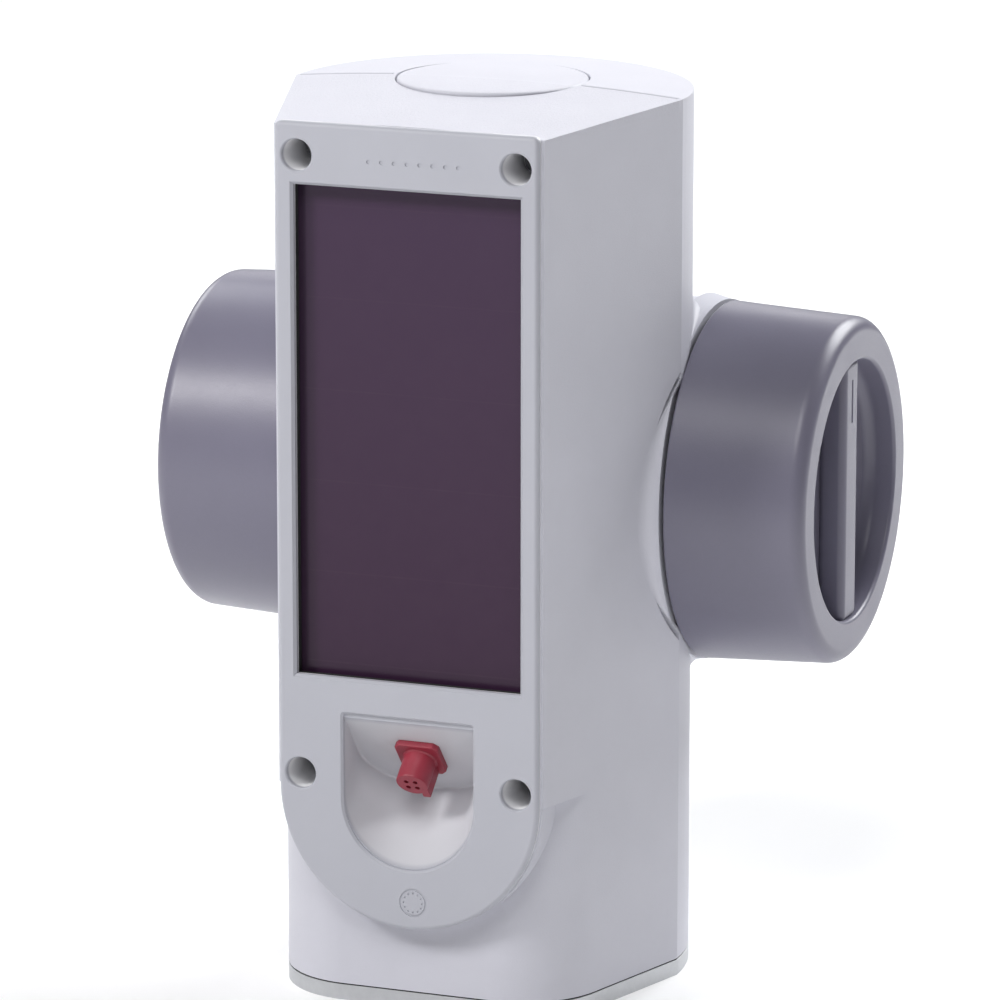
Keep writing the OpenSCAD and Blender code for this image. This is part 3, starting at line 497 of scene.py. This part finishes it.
def tongue_outline(half, top, foot_arc, extra=0.0, corner=1.0):
    crown, reach = tongue(half, top, extra, corner)
    return crown + arc(0, foot_arc, reach, 180, 360, 48)


def scoop(extra, mouth):
    """The space of the recess: a D drawn back and up, with a flat sloping ceiling."""
    steepness = 1 / math.tan(ceiling_tilt)
    depth = 34.0
    shape = tongue_outline(recess_half, recess_top_z, recess_arc_z, extra)
    mesh = prism(shape, front_y + mouth, front_y + depth, (0, (depth - mouth) * steepness))
    above = -(cup_wall if extra else 0.0) * out_of_ceiling
    cut = bmesh.ops.bisect_plane(mesh, geom=mesh.verts[:] + mesh.edges[:] + mesh.faces[:],
                                 plane_co=recess_lip + above, plane_no=-out_of_ceiling,
                                 clear_outer=True)["geom_cut"]
    rim = [item for item in cut if isinstance(item, bmesh.types.BMEdge)]
    ceiling = bmesh.ops.contextual_create(mesh, geom=rim)["faces"]
    bmesh.ops.recalc_face_normals(mesh, faces=mesh.faces)
    if not extra:
        hollow_edges = [edge for edge in ceiling[0].edges if min(v.co.y for v in edge.verts) > front_y + 2]
        bmesh.ops.bevel(mesh, geom=hollow_edges, affect="EDGES", offset=1.2, offset_type="OFFSET",
                        segments=4, profile=0.5, material=-1, clamp_overlap=True)
    return mesh


cup_wall = 2.0
well_spots = [(sx * screw_x, screw_mid_z + sz * screw_rise) for sx in (-1, 1) for sz in (-1, 1)]
well_depth = plate_t + 20
well_r = 5.0

plate = prism(tongue_outline(cover_half, cover_high.z, arc_z, corner=2.0), front_y, front_y + plate_t)
round_edges(plate, 1.5, 5, lambda p: p.y < front_y + 0.01)
behind = [rod((x, front_y + plate_t - 1, z), (x, front_y + well_depth, z), well_r + 1.5) for x, z in well_spots]
behind.append(scoop(cup_wall, plate_t - 0.6))
plate = combine(plate, together(behind), "UNION")

window = [(sx * window_w / 2, window_z + sz * window_h / 2) for sx, sz in ((1, -1), (1, 1), (-1, 1), (-1, -1))]
window_lip = [(x * (1 + 2.0 / window_w), z + math.copysign(1.0, z - window_z)) for x, z in window]
cutters = [flared(window, window_lip, front_y - 0.1, front_y + 0.9, front_y + plate_t + 1)]
recess_shape = tongue_outline(recess_half, recess_top_z, recess_arc_z)
recess_lip_shape = tongue_outline(recess_half, recess_top_z, recess_arc_z, 0.8, 1.4)
cutters.append(flared(recess_shape, recess_lip_shape, front_y - 0.1, front_y + 0.7, front_y + 1.2))
plate = combine(plate, together(cutters), "DIFFERENCE")
plate = combine(plate, scoop(0.0, 0.6), "DIFFERENCE")

holes = []
for x, z in well_spots:
    round_hole = arc(x, z, well_r, 0, 352.5, 47)
    eased = arc(x, z, well_r + 0.5, 0, 352.5, 47)
    holes.append(flared(round_hole, eased, front_y - 0.1, front_y + 0.4, front_y + well_depth - 2))
plate = combine(plate, together(holes), "DIFFERENCE")
shanks = [rod((x, front_y + well_depth - 3, z), (x, front_y + well_depth + 1, z), 2.2) for x, z in well_spots]
socket_place = recess_lip + 19.0 * down_slope
shanks.append(rod(socket_place + out_of_ceiling, socket_place - 6 * out_of_ceiling, 4.7))
plate = combine(plate, together(shanks), "DIFFERENCE")

# Shallow moulding marks: a row of dots above the window, and a ring with ticks under the recess.
mark_z = screw_mid_z + 97.7
ring_x, ring_z = 1.8, screw_mid_z - 136.8
ring_r, ring_line = 4.6, 0.35
marks = [rod((x, front_y - 0.3, mark_z), (x, front_y + 0.25, mark_z), 0.65, segments=16)
         for x in (2.6 + 4.2 * i for i in (-3.5, -2.5, -1.5, -0.5, 0.5, 1.5, 2.5, 3.5))]
for i in range(12):
    turn = math.radians(30 * i)
    x, z = ring_x + 3.1 * math.cos(turn), ring_z + 3.1 * math.sin(turn)
    marks.append(rod((x, front_y - 0.3, z), (x, front_y + 0.25, z), 0.32, segments=12))
plate = combine(plate, together(marks), "DIFFERENCE")
groove = prism(arc(ring_x, ring_z, ring_r, 0, 352.5, 47), front_y - 0.3, front_y + 0.25)
island = prism(arc(ring_x, ring_z, ring_r - 2 * ring_line, 0, 352.5, 47), front_y - 1, front_y + 1)
plate = combine(plate, combine(groove, island, "DIFFERENCE"), "DIFFERENCE")



def cover_white_and_painted_fill(place):
    """The plate's white; the recess behind its face is painted paler, and the screw wells palest, as painted light in
    them.
    """
    face = place.noise(40.0, 2.0).between(rgb(0.430, 0.436, 0.488), rgb(0.456, 0.462, 0.515))
    # Painted light: the recess and the screw wells get a paler colour than the face, standing in for light falling into
    # them.
    behind = place.part("Y").above((front_y + 2.0) * MM, 0.0006)
    well = place.part("X").math("ABSOLUTE").above(28.0 * MM, 0.0006)
    return behind.between(face, well.between(rgb(0.57, 0.57, 0.61), rgb(0.86, 0.86, 0.88)))


white_cover = finish(
    "satin_white_cover", cover_white_and_painted_fill,
    lambda place: place.noise(700.0, 2.0) * 0.08 + 0.40,
    bump=lambda place: place.noise(1900.0, 2.0, 0.5), depth=0.00002)
keep("solar_cover_plate", plate, white_cover, "housing", ["solar_cover"], sharp=32)


# ---- solar panel ----
# A glass-fronted amorphous silicon panel behind the window: dark purple-brown stripes of cell, split
# by fine scribed lines, with painted shade along its two side edges. It is glued to the floor of its pocket.

panel_low, panel_high = (Vector(corner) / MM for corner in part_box("solar_panel"))
cell_pitch = 29.0
first_scribe_z = window_z + window_h / 2 - 6.95


def sheet(low, high, edge=0.3, segments=2):
    """A rectangular block between two corners with rounded edges."""
    mesh = bmesh.new()
    size = high - low
    bmesh.ops.create_cube(mesh, size=1.0, matrix=Matrix.Translation((low + high) / 2) @ Matrix.Diagonal((*size, 1)))
    bmesh.ops.bevel(mesh, geom=mesh.edges[:], affect="EDGES", offset=edge, offset_type="OFFSET",
                    segments=segments, profile=0.5, material=-1, clamp_overlap=True)
    return mesh


def scribed(place):
    """1 on the fine lines between the cells, 0 elsewhere."""
    height = place.part("Z")
    lines = 0.0
    for i in range(6):
        off = (height - (first_scribe_z - cell_pitch * i) * MM).math("ABSOLUTE")
        lines = (1.0 - off.above(0.00022, 0.00012)) + lines
    return lines


def cells_and_painted_edge_shade(place):
    height = place.part("Z")
    rise = (height - (window_z - window_h / 2) * MM) * (1000.0 / window_h)
    cells = rise.between(rgb(0.034, 0.012, 0.036), rgb(0.050, 0.026, 0.060))
    mottled = (place.noise(160.0, 3.0) * 0.25).math("MULTIPLY", scribed(place) * 0.6 + 0.35)
    lined = mottled.node("ShaderNodeMix", {"data_type": "RGBA"},
                         {"Factor": mottled, 6: cells, 7: rgb(0.085, 0.052, 0.080)}, 2)
    # Painted shade: the cells are darkened along both side edges of the window, standing in for the bezel's shadow.
    side = place.part("X").math("ABSOLUTE").above((window_w / 2 - 2.0) * MM, 0.0003)
    return side.node("ShaderNodeMix", {"data_type": "RGBA"},
                     {"Factor": side * 0.55, 6: lined, 7: rgb(0.028, 0.018, 0.030)}, 2)


solar_glass = finish(
    "amorphous_cells_behind_glass", cells_and_painted_edge_shade,
    lambda place: place.noise(30.0, 2.0) * 0.06 + 0.22, **{"Specular IOR Level": 0.28})
keep("solar_glass_panel", sheet(panel_low, panel_high), solar_glass, "housing", ["solar_panel"])


# ---- service socket ----
# A red moulded nylon socket with a square flange and a round four-way nose that has a key rib. It
# comes through the recess's sloping ceiling and is held by a nut behind.

def turned(profile, axis_start, axis_way, segments=96):
    """A solid of revolution: profile points are distances along the axis and radii."""
    mesh = bmesh.new()
    way = Vector(axis_way).normalized()
    across = way.orthogonal().normalized()
    verts = [mesh.verts.new(Vector(axis_start) + along * way + radius * across) for along, radius in profile]
    edges = [mesh.edges.new((a, b)) for a, b in zip(verts, verts[1:])]
    bmesh.ops.spin(mesh, geom=verts + edges, cent=axis_start, axis=way, angle=2 * math.pi,
                   steps=segments, use_merge=True)
    bmesh.ops.remove_doubles(mesh, verts=mesh.verts, dist=0.0005)
    bmesh.ops.recalc_face_normals(mesh, faces=mesh.faces)
    return mesh


flange_half, flange_cut, flange_t = 7.3, 1.6, 2.0
nose_r, nose_len = 5.2, 11.5
uphill = -down_slope
across_ceiling = Vector((1, 0, 0))
ceiling_frame = Matrix((
    (*across_ceiling, 0), (*uphill, 0), (*out_of_ceiling, 0), (0, 0, 0, 1))).transposed()
ceiling_frame.translation = socket_place

flange = bmesh.new()
cut = flange_half - flange_cut
corners = [(-cut, -flange_half), (cut, -flange_half), (flange_half, -cut), (flange_half, cut),
           (cut, flange_half), (-cut, flange_half), (-flange_half, cut), (-flange_half, -cut)]
face = flange.faces.new([flange.verts.new((x, y, 0)) for x, y in corners])
grown = bmesh.ops.extrude_face_region(flange, geom=[face])["geom"]
bmesh.ops.translate(flange, verts=[v for v in grown if isinstance(v, bmesh.types.BMVert)], vec=(0, 0, flange_t))
bmesh.ops.recalc_face_normals(flange, faces=flange.faces)
bmesh.ops.bevel(flange, geom=[e for e in flange.edges if max(v.co.z for v in e.verts) > flange_t - 0.01],
                affect="EDGES", offset=0.4, offset_type="OFFSET", segments=3, profile=0.5, material=-1)

nose = turned([(-5, 0), (-5, 4.6), (0.5, 4.6), (0.5, nose_r + 0.5), (flange_t, nose_r + 0.5), (flange_t + 0.5, nose_r),
               (nose_len - 0.5, nose_r), (nose_len - 0.15, nose_r - 0.15), (nose_len, nose_r - 0.5), (nose_len, 0)],
              (0, 0, 0), (0, 0, 1), 64)
rib = sheet(Vector((2.2, -nose_r - 1.2, 0.5)), Vector((4.8, -2.0, nose_len)), 0.3)
socket = combine(combine(flange, nose, "UNION"), rib, "UNION")
pin_r = 2.1
pin_spots = [(pin_r * math.cos(math.radians(a)), pin_r * math.sin(math.radians(a))) for a in (45, 135, 225, 315)]
socket = combine(socket, together([rod((x, y, 5), (x, y, nose_len + 1), 0.8, segments=24) for x, y in pin_spots]),
                 "DIFFERENCE")
bmesh.ops.transform(socket, matrix=ceiling_frame, verts=socket.verts)

red_nylon = finish(
    "red_moulded_nylon",
    lambda place: place.noise(300.0, 3.0).between(rgb(0.27, 0.024, 0.044), rgb(0.33, 0.032, 0.055)),
    lambda place: place.noise(900.0, 2.0) * 0.12 + 0.34,
    bump=lambda place: place.noise(1500.0, 2.0), depth=0.00003)
keep("red_service_socket", socket, red_nylon, "housing", ["service_socket"], sharp=34)


# ---- turn knobs ----
# Two large drums of grey moulded ABS, one on each end of the barrel. Each tapers slightly, has a
# rounded outer edge, and has a dish in its end face with a bar across it to grip.

base_gap_x = knob_low.x
base_radius, end_radius, rim_radius = 57.6, 55.65, 5.0
knob_end_x = knob_high.x
dish_radius, dish_depth, dish_round = 42.0, 10.0, 4.0
bar_half, bar_top, bar_round = 7.0, 1.5, 2.6
hub_radius, shaft_radius, knob_wall = 12.0, 6.05, 3.0


def bend(x, radius, r, start, end, count=8):
    """Points of a round stretch of a profile, as distance along the axis and radius."""
    turns = [math.radians(start + (end - start) * i / count) for i in range(count + 1)]
    return [(x + r * math.cos(turn), radius + r * math.sin(turn)) for turn in turns]


floor_x = knob_end_x - dish_depth
shoulder_x = knob_end_x - rim_radius
drum_profile = (
    [(floor_x, 0.0)]
    + bend(floor_x + dish_round, dish_radius - dish_round, dish_round, 180, 90)
    + bend(knob_end_x - 1.2, dish_radius + 1.2, 1.2, 270, 360, 5)
    + bend(shoulder_x, end_radius - rim_radius, rim_radius, 0, 90, 12)
    + [(shoulder_x - 13.0, 56.27), (shoulder_x - 27.0, 56.95)]
    + bend(base_gap_x + 0.7, base_radius - 0.7, 0.7, 90, 180, 4)
    + [(base_gap_x, base_radius - knob_wall), (shoulder_x - 7.0, end_radius - knob_wall - 1.0),
       (shoulder_x - 7.0, dish_radius + 3.0), (floor_x - knob_wall, dish_radius + 3.0),
       (floor_x - knob_wall, hub_radius), (base_gap_x + 3.0, hub_radius), (base_gap_x + 3.0, shaft_radius),
       (floor_x - 1.0, shaft_radius), (floor_x - 1.0, 0.0)])

grey_abs = finish(
    "grey_moulded_knob",
    lambda place: (place.noise(38.0, 3.0) * 0.7 + place.noise(900.0, 2.0) * 0.3).between(
        rgb(0.160, 0.154, 0.208), rgb(0.184, 0.176, 0.234)),
    lambda place: place.noise(60.0, 2.0) * 0.08 + place.noise(1200.0, 1.0) * 0.08 + 0.28,
    bump=lambda place: place.noise(2400.0, 2.0, 0.6), depth=0.00003)

for side, side_name in ((-1, "left"), (1, "right")):
    drum = turned(drum_profile, (0, 0, 0), (1, 0, 0), 160)
    bar = sheet(Vector((floor_x - 0.8, -bar_half, -dish_radius - 0.6)),
                Vector((knob_end_x - bar_top, bar_half, dish_radius + 0.6)), bar_round, 5)
    drum = combine(drum, bar, "UNION")
    index = sheet(Vector((knob_end_x - bar_top - 0.35, -0.8, 22.0)),
                  Vector((knob_end_x, 0.8, 36.0)), 0.3)
    drum = combine(drum, index, "DIFFERENCE")
    bmesh.ops.transform(drum, matrix=Matrix.Diagonal((side, 1, 1, 1)), verts=drum.verts)
    bmesh.ops.translate(drum, verts=drum.verts, vec=(0, knob_y, knob_z))
    bmesh.ops.recalc_face_normals(drum, faces=drum.faces)
    keep(f"{side_name}_turn_drum", drum, grey_abs, f"{side_name}_turn_knob", [f"{side_name}_knob"])


# ---- top button ----
# A wide round ABS button flush with the crown, moulded in the same white as the shells. A narrow
# groove runs round it, and its own edge is eased.

button_low, button_high = (Vector(corner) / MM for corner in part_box("top_button"))
button_radius = (button_high.x - button_low.x) / 2
crown_edge = button_high.z - (crown_r - math.sqrt(crown_r ** 2 - button_radius ** 2))
cap_wall, cap_deep = 2.4, button_low.z
under_cap = top_z - 2.6 - 0.8
cap_profile = (
    [(top_z, 0.0)]
    + [(crown_edge + (top_z - crown_edge) * (1 - (k / 6) ** 2), button_radius * k / 6) for k in (1, 2, 3, 4, 5)]
    + [(crown_edge + 0.10, button_radius - 1.1), (crown_edge - 0.06, button_radius - 0.5),
       (crown_edge - 0.35, button_radius - 0.12), (crown_edge - 0.8, button_radius), (cap_deep, button_radius),
       (cap_deep, button_radius - cap_wall), (under_cap, button_radius - cap_wall), (under_cap, 0.0)])
cap = turned(cap_profile, (0, button_y, 0), (0, 0, 1), 128)
keep("round_top_button", cap, white_shell, "top_push_button", ["top_button"])


# ---- fascia ----
# A dark moulded plate on the flat land of the barrel, facing the user. It frames the display, the
# three keys and the card slot, and four screws hold it.

dark_satin = finish(
    "dark_satin_fascia",
    lambda place: place.noise(70.0, 3.0).between(rgb(0.040, 0.043, 0.055), rgb(0.052, 0.056, 0.070)),
    lambda place: place.noise(1500.0, 2.0) * 0.16 + 0.40,
    bump=lambda place: place.noise(3000.0, 2.0, 0.6), depth=0.00004)

fascia_back = Vector(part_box("fascia")[1]).y / MM
plate_front = copy_of("fascia")
round_edges(plate_front, 0.8, 4, lambda p: p.y > fascia_back - 0.05, 50)
keep("dark_fascia_plate", plate_front, dark_satin, "housing", ["fascia"], sharp=34)

slot_frame = copy_of("card_slot_bezel")
slot_out = Vector(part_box("card_slot_bezel")[1]).y / MM
round_edges(slot_frame, 0.5, 3, lambda p: p.y > slot_out - 0.05, 50)
keep("card_slot_frame", slot_frame, dark_satin, "housing", ["card_slot_bezel"], sharp=34)


# ---- keys ----
# Three round moulded keys in a row under the display, slightly dished on top; the right one, which
# confirms, is green.

def moulded(name, low, high, roughness=0.38, grain=0.00003):
    return finish(name, lambda place: place.noise(220.0, 3.0).between(low, high),
                  lambda place: place.noise(1100.0, 2.0) * 0.12 + roughness,
                  bump=lambda place: place.noise(2400.0, 2.0), depth=grain)


grey_cap = moulded("grey_key_cap", rgb(0.46, 0.47, 0.51), rgb(0.53, 0.54, 0.58))
green_cap = moulded("green_key_cap", rgb(0.030, 0.27, 0.10), rgb(0.045, 0.34, 0.14))
for side_name, cap_finish, slot in (
        ("left", grey_cap, "grey_key"), ("middle", grey_cap, "grey_key"), ("right", green_cap, "green_key")):
    low, high = (Vector(corner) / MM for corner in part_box(f"{side_name}_key"))
    centre = Vector(((low.x + high.x) / 2, low.y, (low.z + high.z) / 2))
    collar = (high.x - low.x) / 2
    head = collar - 1.2
    length = high.y - low.y
    collar_at = length - 6.3
    keep(f"{side_name}_key_cap", turned(
        [(0, 0), (0, 2.0), (collar_at, 2.0), (collar_at, collar), (collar_at + 1.4, collar),
         (collar_at + 1.4, head), (length - 0.9, head), (length - 0.3, head - 0.2), (length, head - 0.9),
         (length - 0.25, head - 2.4), (length - 0.4, 0)],
        centre, (0, 1, 0), 64), cap_finish, f"{side_name}_push_key", [f"{side_name}_key"])


# ---- contactless reader ----
# A round dark cover flush in a boss above the barrel, with raised rings that show where a card is
# held. The antenna board lies behind it.

reader_low, reader_high = (Vector(corner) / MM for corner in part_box("contactless_cover"))
reader_centre = Vector((0, reader_low.y, (reader_low.z + reader_high.z) / 2))
reader_radius = (reader_high.x - reader_low.x) / 2
cover_len = reader_high.y - reader_low.y
rings = []
for ring in (16.5, 12.0, 7.5):
    rings += [(cover_len - 0.35, ring + 0.9), (cover_len, ring + 0.5), (cover_len, ring - 0.5),
              (cover_len - 0.35, ring - 0.9)]
cover_profile = ([(2.0, 0.0), (2.0, reader_radius - 2.0), (0.0, reader_radius - 2.0), (0.0, reader_radius),
                  (cover_len - 0.9, reader_radius), (cover_len - 0.5, reader_radius - 0.25),
                  (cover_len - 0.35, reader_radius - 0.9)] + rings + [(cover_len - 0.35, 0.0)])
keep("contactless_target", turned(cover_profile, reader_centre, (0, 1, 0), 96), dark_satin, "housing",
     ["contactless_cover"])


# ---- display ----
# A clear window over a reflective liquid-crystal module. It shows blank cells, with no lettering.

display_low, display_high = (Vector(corner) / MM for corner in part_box("display_module"))
lens_low, lens_high = (Vector(corner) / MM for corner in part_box("display_window"))


def grid(place):
    """Faint rows and columns of blank cells."""
    columns = ((place.part("X") * (1 / 0.0036)).math("FRACT") - 0.5).math("ABSOLUTE").above(0.42, 0.03)
    rows = ((place.part("Z") * (1 / 0.0068)).math("FRACT") - 0.5).math("ABSOLUTE").above(0.43, 0.02)
    return columns.math("MAXIMUM", rows).between(rgb(0.30, 0.36, 0.27), rgb(0.35, 0.41, 0.32))


display_face = finish("blank_display", grid, lambda place: place.noise(400.0) * 0.05 + 0.25)
clear = finish("clear_window_pane", lambda place: place.noise(50.0).between(rgb(0.78, 0.82, 0.83), rgb(0.82, 0.86, 0.87)),
               lambda place: place.noise(300.0) * 0.03 + 0.05, Alpha=0.28)
keep("display_glass", sheet(display_low, display_high, 0.2), display_face, "housing", ["display_module"])
keep("window_pane", sheet(lens_low, lens_high, 0.2), clear, "housing", ["display_window"])


# ---- base ----
# A bead-blasted die-cast plate with four fixing holes, a cable entry and four screws into the
# shells, on a thin black gasket.

def metal(name, low, high, roughness, scale=400.0, relief=0.00003):
    return finish(name, lambda place: place.noise(scale, 3.0).between(low, high),
                  lambda place: place.noise(scale * 2.5, 2.0) * 0.16 + roughness, 1.0,
                  bump=lambda place: place.noise(scale * 5, 2.0), depth=relief)


cast_plate = copy_of("base_plate")
plate_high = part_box("base_plate")[1][2] / MM
round_edges(cast_plate, 0.6, 3, lambda p: p.z > plate_high - 0.01 and math.hypot(p.x, p.y) > 50, 50)
keep("cast_base_plate", cast_plate, metal("bead_blasted_casting", rgb(0.56, 0.57, 0.59), rgb(0.64, 0.65, 0.67), 0.42),
     "housing", ["base_plate"])


# ---- remaining parts ----
# Screws, gaskets, shafts, bushes, boards, cells and leads keep the design's own shapes. Each takes
# the finish of its kind.

def board_green(place):
    tracks = ((place.part("X") * 900.0).math("FRACT") - 0.5).math("ABSOLUTE").above(0.36, 0.05)
    return (tracks * place.noise(120.0, 1.0).above(0.5, 0.02)).between(rgb(0.014, 0.10, 0.04), rgb(0.03, 0.16, 0.07))


def wrap_blue(place):
    band = place.part("Z").above(0.166, 0.0002)
    return band.node("ShaderNodeMix", {"data_type": "RGBA"},
                     {"Factor": band, 6: place.noise(50.0).between(rgb(0.045, 0.11, 0.30), rgb(0.06, 0.14, 0.36)),
                      7: rgb(0.55, 0.56, 0.58)}, 2)


kinds = {
    "steel": metal("zinc_plated_steel", rgb(0.62, 0.63, 0.64), rgb(0.70, 0.71, 0.71), 0.26),
    "dark_steel": metal("black_oxide_steel", rgb(0.13, 0.13, 0.14), rgb(0.20, 0.20, 0.21), 0.34),
    "contact_brass": metal("bright_contact_brass", rgb(0.70, 0.50, 0.20), rgb(0.78, 0.60, 0.27), 0.20),
    "bush_brass": metal("turned_bush_brass", rgb(0.60, 0.45, 0.20), rgb(0.68, 0.52, 0.25), 0.28),
    "black_rubber": moulded("black_gasket_rubber", rgb(0.016, 0.016, 0.017), rgb(0.028, 0.028, 0.029), 0.62),
    "dark_plastic": moulded("dark_moulded_plastic", rgb(0.035, 0.035, 0.040), rgb(0.055, 0.055, 0.060), 0.42),
    "frame_grey": moulded("grey_frame_plastic", rgb(0.27, 0.28, 0.30), rgb(0.32, 0.33, 0.35), 0.46),
    "circuit_green": finish("circuit_board_green", board_green, lambda place: place.noise(500.0) * 0.1 + 0.28),
    "cell_wrap": finish("blue_cell_wrap", wrap_blue, lambda place: place.noise(90.0) * 0.08 + 0.24),
    "lead_red": moulded("red_lead_skin", rgb(0.30, 0.020, 0.020), rgb(0.38, 0.035, 0.035), 0.45),
    "lead_black": moulded("black_lead_skin", rgb(0.022, 0.022, 0.026), rgb(0.035, 0.035, 0.040), 0.45),
}
replaced = {"solar_side_shell", "user_side_shell", "solar_cover", "solar_panel", "service_socket", "left_knob",
            "right_knob", "top_button", "fascia", "card_slot_bezel", "left_key", "middle_key", "right_key",
            "contactless_cover", "display_module", "display_window", "base_plate"}
for subpart in frame["record"]["subparts"]:
    if subpart["node"] not in replaced:
        part = frame["nodes"][subpart["node"]]
        part.data.materials.clear()
        part.data.materials.append(kinds[subpart["material_slot"]])
